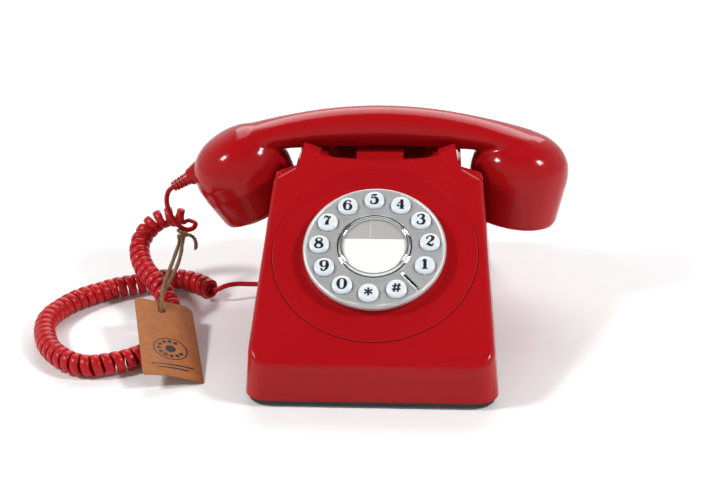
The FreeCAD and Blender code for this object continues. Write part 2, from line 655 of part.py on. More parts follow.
def make_hook():
    top = handle_bottom(0) - REST_GAP
    neck_bottom = TROUGH_FLOOR - WALL - PLUNGER_TRAVEL - REST_GAP - PLUNGER_FLANGE
    crown = prism_x([
        (PLUNGER_FRONT, TROUGH_FLOOR + REST_GAP), (PLUNGER_FRONT, top - 4.0), (PLUNGER_FRONT + 2, top - 2.4),
        (PLUNGER_FRONT + 9, top - 0.2), (PLUNGER_FRONT + 12, top), (PLUNGER_FRONT + 19, top),
        (PLUNGER_FRONT + 27, top - 3.4), (PLUNGER_FRONT + 27, TROUGH_FLOOR + REST_GAP),
    ], PLUNGER_HALF_WIDTH)
    neck = box(-NECK_HALF_WIDTH, NECK_HALF_WIDTH, PLUNGER_FRONT + 1, PLUNGER_NECK_REAR,
               neck_bottom, TROUGH_FLOOR + REST_GAP + 1)
    flange = box(-PLUNGER_HALF_WIDTH - 0.5, PLUNGER_HALF_WIDTH + 0.5,
                 PLUNGER_FRONT - 0.5, PLUNGER_NECK_REAR + 1.5, neck_bottom, neck_bottom + PLUNGER_FLANGE)
    stem = rod(3.0, SWITCH_TOP + REST_GAP, neck_bottom + 1, 0, STEM_Y)
    parts["hook_plunger"] = fuse([crown, neck, flange, stem])
    parts["hook_switch"] = box(-10, 10, STEM_Y - 6, STEM_Y + 6, SWITCH_TOP - 15, SWITCH_TOP)
    upright = box(-7, 7, STEM_Y + 6, STEM_Y + 8, COVER_BOTTOM, SWITCH_TOP)
    foot = box(-7, 7, STEM_Y - 6, STEM_Y + 8, COVER_BOTTOM, COVER_BOTTOM + 2)
    parts["hook_bracket"] = upright.fuse(foot)
    parts["hook_spring"] = coil_spring(SPRING_RADIUS, SPRING_WIRE, SWITCH_TOP, neck_bottom, SPRING_TURNS)


def coil_spring(radius, wire, z0, z1, turns):
    """Compression spring standing between two flat seats."""
    rise = z1 - z0 - 2 * wire
    helix = Part.makeHelix(rise / turns, rise, radius)
    section = Part.Wire(Part.makeCircle(wire, Vector(radius, 0, 0), Y_AXIS))
    spring = Part.Wire(helix.Edges).makePipeShell([section], True, True)
    spring.translate(Vector(0, STEM_Y, z0 + wire))
    return spring


# ---- bell ----------------------------------------------------------------


def make_bell():
    sole_top = COVER_BOTTOM + 2
    sole = box(-32, 32, GONG_Y - 17, RINGER_REAR, COVER_BOTTOM, sole_top)
    tongue = box(-8, 8, RINGER_REAR, HAMMER_PIVOT_Y + 3.5, COVER_BOTTOM, sole_top)
    posts = [rod(GONG_POST_RADIUS, sole_top, GONG_SEAT, s * GONG_X, GONG_Y) for s in (-1, 1)]
    pivot = revolve([
        (0, 0), (3.0, 0), (3.0, HAMMER_Z - 3.1 - sole_top), (PIVOT_RADIUS, HAMMER_Z - 3.1 - sole_top),
        (PIVOT_RADIUS, HAMMER_Z + 5 - sole_top), (0, HAMMER_Z + 5 - sole_top),
    ])
    pivot.translate(Vector(0, HAMMER_PIVOT_Y, sole_top))
    bores = [rod(GONG_SCREW_RADIUS + 0.1, 15, 40, s * GONG_X, GONG_Y) for s in (-1, 1)]
    posts = [post.cut(bore) for post, bore in zip(posts, bores)]
    parts["ringer_frame"] = sole.multiFuse([tongue, pivot] + posts).removeSplitter()
    bobbin = revolve([
        (0, 0), (9.0, 0), (9.0, 1.2), (7.6, 1.2), (7.6, BOBBIN_HEIGHT - 1.2), (9.0, BOBBIN_HEIGHT - 1.2),
        (9.0, BOBBIN_HEIGHT), (0, BOBBIN_HEIGHT),
    ])
    bobbin.translate(Vector(0, GONG_Y - 7, sole_top))
    parts["ringer_coil"] = bobbin
    r = GONG_RADIUS
    bell = revolve([
        (2.6, GONG_SEAT), (r - 9, GONG_SEAT), (r - 2.7, GONG_SEAT - 3.2), (r - 1, GONG_SEAT - 9),
        (r - 1, GONG_SEAT - 11), (r, GONG_SEAT - 11), (r, GONG_SEAT - 9), (r - 2, GONG_SEAT - 2.5),
        (r - 8.6, GONG_SEAT + 1), (2.6, GONG_SEAT + 1),
    ])
    screws = []
    for side, name in ((-1, "gong_left"), (1, "gong_right")):
        one = bell.copy()
        one.translate(Vector(side * GONG_X, GONG_Y, 0))
        parts[name] = one
        head = rod(4.5, GONG_SEAT + 1, GONG_SEAT + 3, side * GONG_X, GONG_Y)
        screws.append(head.fuse(rod(GONG_SCREW_RADIUS, 16, GONG_SEAT + 1, side * GONG_X, GONG_Y)))
    parts["gong_screws"] = Part.makeCompound(screws)
    ball = Part.makeSphere(3.0, Vector(0, GONG_Y, HAMMER_Z))
    arm = box(-0.8, 0.8, GONG_Y, HAMMER_PIVOT_Y, HAMMER_Z - 1, HAMMER_Z + 1)
    hub = rod(3.2, HAMMER_Z - 3, HAMMER_Z + 3, 0, HAMMER_PIVOT_Y)
    hammer = fuse([ball, arm, hub]).cut(rod(PIVOT_RADIUS + 0.06, 0, 60, 0, HAMMER_PIVOT_Y))
    parts["ringer_hammer"] = hammer


def make_rear():
    inside = HALF_DEPTH - WALL
    nose_half = LINE_JACK_HALF - REST_GAP
    jack = box(LINE_JACK_X - 8, LINE_JACK_X + 8, inside - LINE_JACK_DEPTH, inside, COVER_BOTTOM, 22)
    nose = box(LINE_JACK_X - nose_half, LINE_JACK_X + nose_half, inside - 2, HALF_DEPTH - 0.5, 6.8, 20.2)
    socket = box(LINE_JACK_X - 5, LINE_JACK_X + 5, HALF_DEPTH - 10, HALF_DEPTH + 5, 9, 17.5)
    parts["line_jack"] = fuse([jack, nose]).cut(socket)
    housing = box(SWITCH_X - 9, SWITCH_X + 9, inside - 6, inside, COVER_BOTTOM, SWITCH_Z + 6)
    cavity = box(SWITCH_X - 7, SWITCH_X + 7, inside - 4, HALF_DEPTH, SWITCH_Z - 2.5, SWITCH_Z + 2.5)
    parts["volume_switch_body"] = housing.cut(cavity)
    knob = box(SWITCH_X - 4.6, SWITCH_X + 0.6, inside - 3.7, HALF_DEPTH,
               SWITCH_Z - 2.2, SWITCH_Z + 2.2)
    ridge = box(SWITCH_X - 2.8, SWITCH_X - 1.2, HALF_DEPTH - 1, HALF_DEPTH + 0.4,
                SWITCH_Z - 1.8, SWITCH_Z + 1.8)
    parts["volume_switch"] = knob.fuse(ridge)
    face = -CASE_HALF_WIDTH + WALL + 1.8
    socket_body = box(face, -SOCKET_IN, JACK_Y - 7, JACK_Y + 7, COVER_BOTTOM, JACK_Z + 6.5)
    half_y = PLUG_HALF_Y + PLUG_GAP
    half_z = PLUG_HALF_Z + PLUG_GAP
    hole = box(face - 17, 3 - PLUG_IN, JACK_Y - half_y, JACK_Y + half_y, JACK_Z - half_z, JACK_Z + half_z)
    parts["handset_socket"] = socket_body.cut(hole)


# ---- handset -------------------------------------------------------------


def handle_section(x, thinner):
    """Closed outline of the handle at x: a soft edge runs along the middle of each side."""
    top = handle_top(x) - thinner
    bottom = handle_bottom(x) + thinner
    middle = (top + bottom) / 2
    tall = (top - bottom) / 2
    wide = HANDLE_MID_WIDTH / 2 - thinner + max(0.0, abs(x) - 55) * 0.12
    curve = Part.BSplineCurve()
    points = [Vector(x, HANDLE_Y + wide * y, middle + tall * z) for y, z in HANDLE_OUTLINE]
    curve.interpolate(points, PeriodicFlag=True)
    return Part.Wire(curve.toShape())


def handle_bar(thinner):
    reach = HANDLE_REACH - thinner
    stations = [-reach, -66, -44, -22, 0, 22, 44, 66, reach]
    return Part.makeLoft([handle_section(x, thinner) for x in stations], True, False)


def cup_dome(thinner):
    """Domed cup above the seam, turned about its own axis."""
    r = CUP_RADIUS
    outline = [
        (r - thinner, 0), (r + 0.4 - thinner, 6), (r - 0.4 - thinner, 12), (r - 3.4 - thinner, 18.5),
        (r - 9.5 - thinner * 0.9, 24.5 - thinner * 0.6), (r - 17.5, CUP_DOME - 1.9 - thinner),
        (0, CUP_DOME - thinner),
    ]
    curve = Part.BSplineCurve()
    places = [Vector(x, 0, z) for x, z in outline]
    curve.interpolate(places, InitialTangent=Vector(0.5, 0, 6), FinalTangent=Vector(-8, 0, 0))
    start = Vector(0, 0, -2.0 if thinner else 0)
    if thinner:
        corner = Vector(r - thinner, 0, -2.0)
        seam = Vector(r - thinner, 0, 0)
        edges = [Part.makeLine(start, corner), Part.makeLine(corner, seam), curve.toShape()]
    else:
        edges = [Part.makeLine(start, Vector(r, 0, 0)), curve.toShape()]
    edges.append(Part.makeLine(Vector(0, 0, CUP_DOME - thinner), start))
    face = Part.Face(Part.Wire(edges))
    return face.revolve(Vector(0, 0, 0), Z_AXIS, 360)


def make_handset():
    outer = handle_bar(0).fuse(at_cup(cup_dome(0), -1)).fuse(at_cup(cup_dome(0), 1))
    for side in (-1, 1):
        outer = outer.cut(at_cup(rod(60, -60, 0), side))
    inner = [handle_bar(HANDSET_WALL), at_cup(cup_dome(HANDSET_WALL), -1), at_cup(cup_dome(HANDSET_WALL), 1)]
    parts["handset_handle"] = outer.cut(inner)
    make_cap("mouthpiece_cap", -1, MOUTH_RIM_RADIUS)
    make_cap("earpiece_cap", 1, EAR_RIM_RADIUS)
    face = -CAP_LENGTH + HANDSET_WALL
    parts["microphone"] = at_cup(rod(MICROPHONE_RADIUS, face, face + 10), -1)
    parts["receiver"] = at_cup(rod(RECEIVER_RADIUS, face, face + 8), 1)
    low = handle_bottom(0) + HANDSET_WALL + 2 * REST_GAP
    parts["handset_weight"] = box(-22, 22, HANDLE_Y - 4.5, HANDLE_Y + 4.5, low, low + 8)


def make_cap(name, side, rim):
    r = CUP_RADIUS
    end = -CAP_LENGTH
    shell = revolve([
        (r - HANDSET_WALL, 0), (r, 0), (r - 0.1, -2), (rim + 0.3, end + 3), (rim - 0.4, end + 1),
        (rim - 2, end),
        (20, end), (19.2, end - 2), (0, end - 2), (0, end + HANDSET_WALL),
        (rim - HANDSET_WALL, end + HANDSET_WALL),
    ])
    holes = [rod(1.0, end - 5, end + 6)]
    for ring, count in ((5.5, 6), (11.0, 12)):
        for k in range(count):
            holes.append(rod(1.0, end - 5, end + 6, *polar(ring, k * 360 / count)))
    parts[name] = at_cup(shell.cut(holes), side)


# ---- cord ----------------------------------------------------------------
# The wire is a flat section wound into a coil; the route is its centre line.


def swept_tube(name, points, diameter):
    """Round tube along straight runs joined by tangent arcs; prints its radii."""
    way = [Vector(*p) for p in points]
    edges = []
    radii = []
    start = way[0]
    for i in range(1, len(way) - 1):
        before = way[i] - way[i - 1]
        after = way[i + 1] - way[i]
        turn = before.getAngle(after)
        reach = 0.45 * min(before.Length, after.Length)
        radius = reach / math.tan(turn / 2)
        radii.append(round(radius, 1))
        back = Vector(before).normalize()
        ahead = Vector(after).normalize()
        enter = way[i] - back * reach
        leave = way[i] + ahead * reach
        bisector = (ahead - back).normalize()
        middle = way[i] + bisector * (radius / math.cos(turn / 2) - radius)
        edges.append(Part.LineSegment(start, enter).toShape())
        edges.append(Part.Arc(enter, middle, leave).toShape())
        start = leave
    edges.append(Part.LineSegment(start, way[-1]).toShape())
    path = Part.Wire(edges)
    along = Vector(way[1] - way[0]).normalize()
    section = Part.Wire(Part.makeCircle(diameter / 2, way[0], along))
    tube = path.makePipeShell([section], True, False)
    ideal = math.pi * diameter ** 2 / 4 * path.Length
    print(name, "length", round(path.Length, 1), "radii", radii)
    print(name, "volume", round(tube.Volume), "of", round(ideal))
    return tube


def round_bar(points, start, along):
    """Solid turned from (radius, distance) points about an axis in space."""
    bar = revolve(points)
    bar.Placement = Placement(start, Rotation(Z_AXIS, along))
    return bar


def make_cord():
    along = Vector(CORD_OUT).normalize()
    cone = [(0, 0), (7.6, 0), (7.2, 3), (5.0, GLAND_LENGTH - 0.6), (4.4, GLAND_LENGTH), (0, GLAND_LENGTH)]
    gland = round_bar(cone, GLAND_START, along)
    parts["cord_gland"] = gland.cut(at_cup(cup_dome(0), -1)).cut(handle_bar(0))
    tip = GLAND_START + along * GLAND_LENGTH
    ribs = [(0, 0), (3.9, 0)]
    for k in range(BOOT_RIBS):
        z = 1.8 + k * 2.5
        outer = 3.9 - 0.22 * k
        ribs += [(outer, z), (outer - 0.8, z + 0.2), (outer - 0.8, z + 0.9), (outer - 0.15, z + 1.1)]
    ribs += [(3.0, BOOT_LENGTH), (0, BOOT_LENGTH)]
    parts["strain_relief_boot"] = round_bar(ribs, tip, along)
    boot_end = tip + along * BOOT_LENGTH
    parts["cord_upper_lead"] = swept_tube("cord_upper_lead", [tuple(boot_end)] + UPPER_LEAD, LEAD_DIAMETER)
    parts["cord_coil"] = swept_tube("cord_coil", COIL_ROUTE, COIL_DIAMETER)
    parts["cord_lower_lead"] = swept_tube("cord_lower_lead", LOWER_LEAD, LEAD_DIAMETER)
    parts["cord_plug"] = box(-PLUG_OUT, -PLUG_IN, JACK_Y - PLUG_HALF_Y, JACK_Y + PLUG_HALF_Y,
                             JACK_Z - PLUG_HALF_Z, JACK_Z + PLUG_HALF_Z)
    parts["tag_string"] = swept_tube("tag_string", STRING_ROUTE, TWINE_DIAMETER)
    parts["swing_tag"] = make_tag()


def make_tag():
    wide = TAG_ACROSS.Length
    long = TAG_ALONG.Length
    outline = rounded_outline(wide / 2, long / 2, TAG_CORNER_RADIUS, 0)
    card = Part.Face(outline).extrude(Vector(0, 0, TAG_THICKNESS))
    card = card.cut(rod(TAG_HOLE_RADIUS, -5, 5, 0, long / 2 - TAG_HOLE_INSET))
    normal = TAG_ACROSS.cross(TAG_ALONG).normalize()
    centre = TAG_CORNER + TAG_ACROSS * 0.5 + TAG_ALONG * 0.5
    card.Placement = Placement(centre, Rotation(Vector(TAG_ACROSS), Vector(TAG_ALONG), normal, "ZXY"))
    return card


def main():
    os.makedirs("parts", exist_ok=True)
    for make in (make_cover, make_base, make_dial, make_buttons, make_keypad, make_boards,
                 make_hook, make_bell, make_rear, make_handset, make_cord):
        make()
    for name, shape in parts.items():
        if not shape.isValid() or shape.Volume <= 0:
            print("check", name, shape.isValid(), shape.Volume)
        shape.exportStep("parts/" + name + ".step")
    print(len(parts), "nodes")


main()
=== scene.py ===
"""Looks of the desk telephone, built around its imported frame."""
import json
import math

import bmesh
import bpy
from mathutils import Matrix, Vector


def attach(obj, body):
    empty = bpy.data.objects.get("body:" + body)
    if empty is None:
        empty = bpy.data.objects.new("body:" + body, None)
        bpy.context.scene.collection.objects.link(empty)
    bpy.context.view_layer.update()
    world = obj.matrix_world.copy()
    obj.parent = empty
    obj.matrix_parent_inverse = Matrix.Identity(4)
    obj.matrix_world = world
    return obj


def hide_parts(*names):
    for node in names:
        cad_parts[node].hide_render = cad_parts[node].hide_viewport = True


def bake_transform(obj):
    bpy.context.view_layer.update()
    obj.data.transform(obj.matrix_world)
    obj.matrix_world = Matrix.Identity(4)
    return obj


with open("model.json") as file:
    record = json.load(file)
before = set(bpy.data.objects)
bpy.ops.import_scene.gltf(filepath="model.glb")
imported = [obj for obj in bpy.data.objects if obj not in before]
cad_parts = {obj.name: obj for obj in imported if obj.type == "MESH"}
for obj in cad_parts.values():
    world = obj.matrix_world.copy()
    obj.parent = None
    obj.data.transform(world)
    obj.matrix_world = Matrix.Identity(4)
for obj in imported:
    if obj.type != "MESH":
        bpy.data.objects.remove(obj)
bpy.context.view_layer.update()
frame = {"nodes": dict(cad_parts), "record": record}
NODES = frame["nodes"]
MM = 0.001

# the dial's face: its middle, and how far it leans back
DIAL_MIDDLE = Vector((0.0, -0.03864, 0.06213))
DIAL_LEAN = math.radians(31.76)
BUTTON_RING = 0.02975
FIRST_BUTTON = -23.95
BUTTON_STEP = 28.98
BUTTONS = ["1", "2", "3", "4", "5", "6", "7", "8", "9", "0", "star", "hash"]
CAP_TOP = 0.0085

# the view: where the camera stands and what it looks at, in millimetres, its tilt and its lens
CAMERA_PLACE = (35.1, -749.5, 392.9)
CAMERA_TARGET = (-7.68, -42.0, 71.09)
CAMERA_ROLL = math.radians(-0.81)
CAMERA_LENS = 72.83
SENSOR_WIDTH = 36


# ---- small helpers -------------------------------------------------------

def link(obj):
    bpy.context.scene.collection.objects.link(obj)
    return obj


def finished(name, bm, material, smooth=40.0):
    """An object at the origin from a bmesh: one material, faces smooth up to the given angle."""
    mesh = bpy.data.meshes.new(name)
    bm.to_mesh(mesh)
    bm.free()
    for face in mesh.polygons:
        face.use_smooth = True
    mesh.set_sharp_from_angle(angle=math.radians(smooth))
    mesh.materials.append(material)
    return link(bpy.data.objects.new(name, mesh))


def dial_place(x=0.0, y=0.0):
    """The matrix that carries a piece made flat around the origin on to the dial's face."""
    lean = Matrix.Rotation(DIAL_LEAN, 4, "X")
    return Matrix.Translation(DIAL_MIDDLE) @ lean @ Matrix.Translation((x, y, 0.0))


def turned(profile, steps=64):
    """A lathe-turned piece around the Z axis from (radius, height) pairs in millimetres."""
    bm = bmesh.new()
    points = [bm.verts.new((r * MM, 0, z * MM)) for r, z in profile]
    edges = [bm.edges.new(pair) for pair in zip(points, points[1:])]
    bmesh.ops.spin(bm, geom=points + edges, cent=(0, 0, 0), axis=(0, 0, 1), angle=math.tau,
                   steps=steps, use_merge=True, use_duplicate=False)
    bmesh.ops.remove_doubles(bm, verts=bm.verts, dist=1e-6)
    bmesh.ops.recalc_face_normals(bm, faces=bm.faces)
    return bm


def button_spot(index):
    """A button's middle on the dial's face."""
    angle = math.radians(FIRST_BUTTON + BUTTON_STEP * index)
    return BUTTON_RING * math.cos(angle), BUTTON_RING * math.sin(angle)


# ---- camera, cord and tag ------------------------------------------------

def aim_camera():
    data = bpy.data.cameras.new("front_camera")
    data.lens = CAMERA_LENS
    data.sensor_width = SENSOR_WIDTH
    data.clip_start = 0.01
    camera = link(bpy.data.objects.new("front_camera", data))
    place = Vector(CAMERA_PLACE) * MM
    target = Vector(CAMERA_TARGET) * MM
    look = (target - place).normalized()
    right = look.cross(Vector((0, 0, 1))).normalized()
    up = right.cross(look)
    side = right * math.cos(CAMERA_ROLL) + up * math.sin(CAMERA_ROLL)
    top = up * math.cos(CAMERA_ROLL) - right * math.sin(CAMERA_ROLL)
    camera.matrix_world = Matrix((side, top, -look)).transposed().to_4x4()
    camera.matrix_world.translation = place
    bpy.context.scene.camera = camera


def read_route(name, points):
    """The smooth line through a route's points, read from its NURBS spline."""
    curve = bpy.data.curves.new(name, "CURVE")
    curve.dimensions = "3D"
    curve.resolution_u = 10
    spline = curve.splines.new("NURBS")
    spline.points.add(len(points) - 1)
    for spot, point in zip(spline.points, points):
        spot.co = (*(Vector(point) * MM), 1)
    spline.order_u = 3
    spline.use_endpoint_u = True
    carrier = link(bpy.data.objects.new(name, curve))
    bpy.context.view_layer.update()
    mesh = bpy.data.meshes.new_from_object(carrier)
    line = [vert.co.copy() for vert in mesh.vertices]
    bpy.data.objects.remove(carrier)
    bpy.data.meshes.remove(mesh)
    return line


class Route:
    """A line measured along its length, with a frame carried along it without twist."""

    def __init__(self, line):
        self.line = line
        self.marks = [0.0]
        for a, b in zip(line, line[1:]):
            self.marks.append(self.marks[-1] + (b - a).length)
        self.length = self.marks[-1]
        ways = []
        for i in range(len(line)):
            ways.append((line[min(i + 1, len(line) - 1)] - line[max(i - 1, 0)]).normalized())
        side = ways[0].orthogonal().normalized()
        self.ways, self.sides = ways, []
        for way in ways:
            side = (side - way * side.dot(way)).normalized()
            self.sides.append(side)
        self.step = 0

    def at(self, distance):
        """Place, direction and side of the line at a distance from its start."""
        distance = min(max(distance, 0.0), self.length)
        while self.step < len(self.marks) - 2 and self.marks[self.step + 1] < distance:
            self.step += 1
        while self.step > 0 and self.marks[self.step] > distance:
            self.step -= 1
        i = self.step
        span = self.marks[i + 1] - self.marks[i]
        t = (distance - self.marks[i]) / span if span else 0.0
        way = self.ways[i].lerp(self.ways[i + 1], t).normalized()
        side = self.sides[i].lerp(self.sides[i + 1], t)
        side = (side - way * side.dot(way)).normalized()
        return self.line[i].lerp(self.line[i + 1], t), way, side

    def nearest(self, point):
        """How far along the line the place nearest to a point lies."""
        spot = Vector(point) * MM
        i = min(range(len(self.line)), key=lambda k: (self.line[k] - spot).length)
        return self.marks[i]


def ease(t):
    t = min(max(t, 0.0), 1.0)
    return t * t * (3 - 2 * t)


def swept(name, centres, across, wide, thick, material, corners=12, squareness=2.0):
    """An oval tube through the centres; across, wide and thick give its section at each of them."""
    bm = bmesh.new()
    along = bm.loops.layers.uv.new("run")
    rings = []
    for i, centre in enumerate(centres):
        way = (centres[min(i + 1, len(centres) - 1)] - centres[max(i - 1, 0)]).normalized()
        thin = (across[i] - way * across[i].dot(way)).normalized()
        broad = way.cross(thin)
        ring = []
        for k in range(corners):
            turn = math.tau * k / corners
            c, s = math.cos(turn), math.sin(turn)
            c = math.copysign(abs(c) ** (2 / squareness), c)
            s = math.copysign(abs(s) ** (2 / squareness), s)
            ring.append(bm.verts.new(centre + broad * c * wide[i] / 2 + thin * s * thick[i] / 2))
        rings.append(ring)
    travelled = 0.0
    for i in range(len(rings) - 1):
        step = (centres[i + 1] - centres[i]).length
        for k in range(corners):
            j = (k + 1) % corners
            face = bm.faces.new((rings[i][k], rings[i][j], rings[i + 1][j], rings[i + 1][k]))
            ends = ((travelled, k), (travelled, k + 1), (travelled + step, k + 1), (travelled + step, k))
            for loop, (run, corner) in zip(face.loops, ends):
                loop[along].uv = (run * 100, corner / corners)
        travelled += step
    bm.faces.new(list(reversed(rings[0])))
    bm.faces.new(rings[-1])
    bmesh.ops.recalc_face_normals(bm, faces=bm.faces)
    return finished(name, bm, material, 60)


# the cord's route in millimetres: from the handset, round the coil and back to the case
UPPER_LEAD = [
    (-122.4, 44.9, 65.8), (-126.6, 44.6, 63.4), (-128.2, 43.6, 58.0), (-127.6, 42.6, 51.6),
    (-125.0, 42.0, 45.8), (-121.5, 42.2, 40.6), (-117.4, 43.4, 37.4), (-113.2, 45.6, 37.6),
    (-112.0, 48.8, 40.0), (-116.2, 50.1, 41.0), (-120.8, 50.77, 41.96),
]
COIL = [
    (-128.5, 52.0, 43.2), (-136.8, 52.0, 39.4), (-143.0, 49.5, 33.8), (-146.2, 42.5, 29.2),
    (-145.0, 33.0, 25.4), (-140.4, 23.5, 21.8), (-132.8, 12.5, 19.0), (-124.8, 2.5, 15.4),
    (-119.4, -8.0, 10.6), (-117.6, -20.0, 7.2), (-117.8, -33.0, 6.4), (-121.0, -47.5, 6.4),
    (-129.5, -57.6, 6.4), (-141.0, -65.0, 6.4), (-154.0, -69.2, 6.4), (-167.5, -64.2, 6.4),
    (-179.5, -51.5, 6.4), (-187.5, -34.5, 6.4), (-190.8, -17.8, 6.4), (-187.4, -3.0, 6.4),
    (-178.0, 12.0, 6.4), (-165.0, 23.4, 6.4), (-151.5, 31.0, 6.4), (-137.0, 38.2, 6.4),
    (-123.0, 41.6, 6.4), (-110.0, 35.0, 6.4), (-100.5, 23.6, 6.4),
]
LOWER_LEAD = [
    (-97.0, 22.0, 8.6), (-91.0, 23.8, 10.8), (-85.0, 26.2, 10.6), (-79.2, 27.0, 10.0),
    (-72.0, 27.0, 10.0),
]
WIRE_WIDE, WIRE_THICK = 0.0049, 0.0024
LEAD_WIDE, LEAD_THICK = 0.0030, 0.0022
COIL_RADIUS = 0.0050          # to the middle of the wire
COIL_PITCH = 0.0056
FIRST_TURN = math.radians(200)
TURN_STEPS = 26
LEAD_STEP = 0.0006
LEAD_OVERLAP = 0.007          # over which a straight lead opens into turns
LOOSE_RUN = 0.05              # the first turns stand a little further apart


def opened(run, start, end):
    """How far the wire has opened from a straight lead into full turns: nought to one."""
    opening = ease((run - start + LEAD_OVERLAP / 2) / LEAD_OVERLAP)
    closing = ease((end - run + LEAD_OVERLAP / 2) / LEAD_OVERLAP)
    return opening * closing


def make_cord(material):
    """One flat wire, straight out of the handset, wound into the coil, and straight into the plug."""
    route = Route(read_route("cord_route", UPPER_LEAD + COIL + LOWER_LEAD))
    start = route.nearest(UPPER_LEAD[-1]) - 0.001
    end = route.nearest(COIL[-1]) - 0.001
    centres, across, wide, thick = [], [], [], []
    run, phase = 0.0, FIRST_TURN
    fine = COIL_PITCH / TURN_STEPS
    while run < route.length:
        middle, way, side = route.at(run)
        up = way.cross(side)
        opening = opened(run, start, end)
        uneven = 1 + 0.025 * math.sin(run * 900) + 0.015 * math.sin(run * 2300)
        reach = COIL_RADIUS * opening * uneven
        out = side * math.cos(phase) + up * math.sin(phase)
        centres.append(middle + out * reach)
        across.append(out)
        wide.append(LEAD_WIDE + (WIRE_WIDE - LEAD_WIDE) * opening)
        thick.append(LEAD_THICK + (WIRE_THICK - LEAD_THICK) * opening)
        loose = 1 + 0.16 * ease((LOOSE_RUN - (run - start)) / LOOSE_RUN) + 0.05 * math.sin(run * 160)
        phase += math.tau / TURN_STEPS * ease(opening * 1.6)
        run += fine * loose if opening > 0.02 else LEAD_STEP
    middle, way, side = route.at(route.length)
    centres.append(middle)
    across.append(across[-1])
    wide.append(LEAD_WIDE)
    thick.append(LEAD_THICK)
    cord = swept("handset_cord", centres, across, wide, thick, material, corners=12, squareness=2.6)
    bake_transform(cord)
    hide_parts("cord_upper_lead", "cord_coil", "cord_lower_lead")


# the tag: its lower left corner, the ways across and up it, and its size and hole
TAG_CORNER = Vector((-121.0, -83.8, 11.6)) * MM
TAG_ACROSS = Vector((30.6, 9.5, -10.7)) * MM
TAG_ALONG = Vector((-16.8, 66.4, 11.6)) * MM
TAG_WIDE, TAG_TALL, TAG_THICK = 0.0338, 0.0694, 0.0006
TAG_COLUMNS, TAG_ROWS = 12, 20
HOLE_ACROSS, HOLE_UP, HOLE_RADIUS = 0.0147, 0.0602, 0.0025
TAG_BOW = 0.0016
CARD_SCALE = 20               # card coordinates per metre

# the plain mark printed on the tag: a ring of finger holes over two rules
MARK_UP = 0.0245
MARK_LIFT = 0.00006
MARK_HOLES, HOLE_CIRCLE, MARK_HOLE = 10, 0.0066, 0.00125
MARK_HUB = 0.0030
RING_OUTER, RING_INNER = 0.0098, 0.0090
RULES = ((0.0100, 0.0118), (0.0072, 0.0085))    # height and half length of each
RULE_HALF = 0.00055


def on_tag(across, up, rise=0.0):
    """A point of the bowed card, from its lower left corner."""
    right = TAG_ACROSS.normalized()
    top = TAG_ALONG.normalized()
    out = right.cross(top)
    share = across / TAG_WIDE - 0.5
    down = up / TAG_TALL
    bow = TAG_BOW * (1 - 4 * share * share) * (0.4 + 0.6 * (1 - down)) - TAG_BOW * 0.5
    return TAG_CORNER + right * across + top * up + out * (rise + bow)


# the twine: its knot in millimetres, two plies, and how tightly they are laid
KNOT = Vector((-119.3, 40.5, 36.6))
PLY_THICK, PLY_REACH = 0.0013, 0.0006
PLY_LAY = 0.0034
TWINE_STEP = 0.0004


def twine_points():
    """Loose end, knot, down to the tag's hole, through it, and back up into the knot."""
    hole = on_tag(HOLE_ACROSS, HOLE_UP) / MM
    top = TAG_ALONG.normalized()
    out = TAG_ACROSS.normalized().cross(top)
    tail = [
        (7.6, -1.5, -9.5), (8.4, -1.0, -5.0), (6.0, -1.5, -0.5), (2.2, -2.6, 0.6), (-0.8, -2.6, 2.2),
        (-2.9, 0.4, 2.0), (-1.6, 3.0, 0.6), (1.4, 2.6, -0.8), (2.4, -0.4, -0.6), (0.8, -3.0, -1.0),
        (-1.6, -3.0, 0.2), (-2.2, -1.0, -1.6), (-1.4, -1.8, -4.4),
    ]
    down = [(-121.6, 30.0, 29.8), (-122.4, 17.0, 27.0), (-123.2, 4.0, 25.6), (-124.0, -8.0, 22.6)]
    through = [(2.6, 3.0), (0.6, 0.0), (-2.0, 0.6), (-2.4, 5.0), (-0.2, 10.6)]
    back = [(-120.6, 2.0, 24.6), (-118.8, 13.0, 26.8), (-118.4, 25.0, 28.6), (-118.8, 35.0, 31.6)]
    tuck = [(0.6, -1.2, -2.4), (1.2, 1.6, 0.6)]
    points = [tuple(KNOT + Vector(p)) for p in tail] + down
    points += [tuple(hole + out * away + top * up) for away, up in through] + back
    return points + [tuple(KNOT + Vector(p)) for p in tuck]


def make_twine(material):
    """Two plies laid round each other; gives the twine and the points it follows."""
    route = Route(read_route("twine_route", twine_points()))
    path, plies = [], ([], [])
    run = 0.0
    while run <= route.length:
        middle, way, side = route.at(run)
        up = way.cross(side)
        path.append(middle)
        for k, ply in enumerate(plies):
            turn = math.tau * (run / PLY_LAY + k / 2)
            ply.append(middle + (side * math.cos(turn) + up * math.sin(turn)) * PLY_REACH)
        run += TWINE_STEP
    strands = []
    for k, ply in enumerate(plies):
        across = [spot - middle for spot, middle in zip(ply, path)]
        thick = [PLY_THICK * (1 + 0.10 * math.sin(i * 0.21 + k)) for i in range(len(ply))]
        strands.append(swept("twine_ply_%d" % (k + 1), ply, across, thick, thick, material, corners=8))
    joined = bmesh.new()
    for strand in strands:
        joined.from_mesh(strand.data)
        bpy.data.objects.remove(strand)
    twine = finished("tag_twine", joined, material, 60)
    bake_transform(twine)
    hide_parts("tag_string")
    return twine, [tuple(p) for p in path]


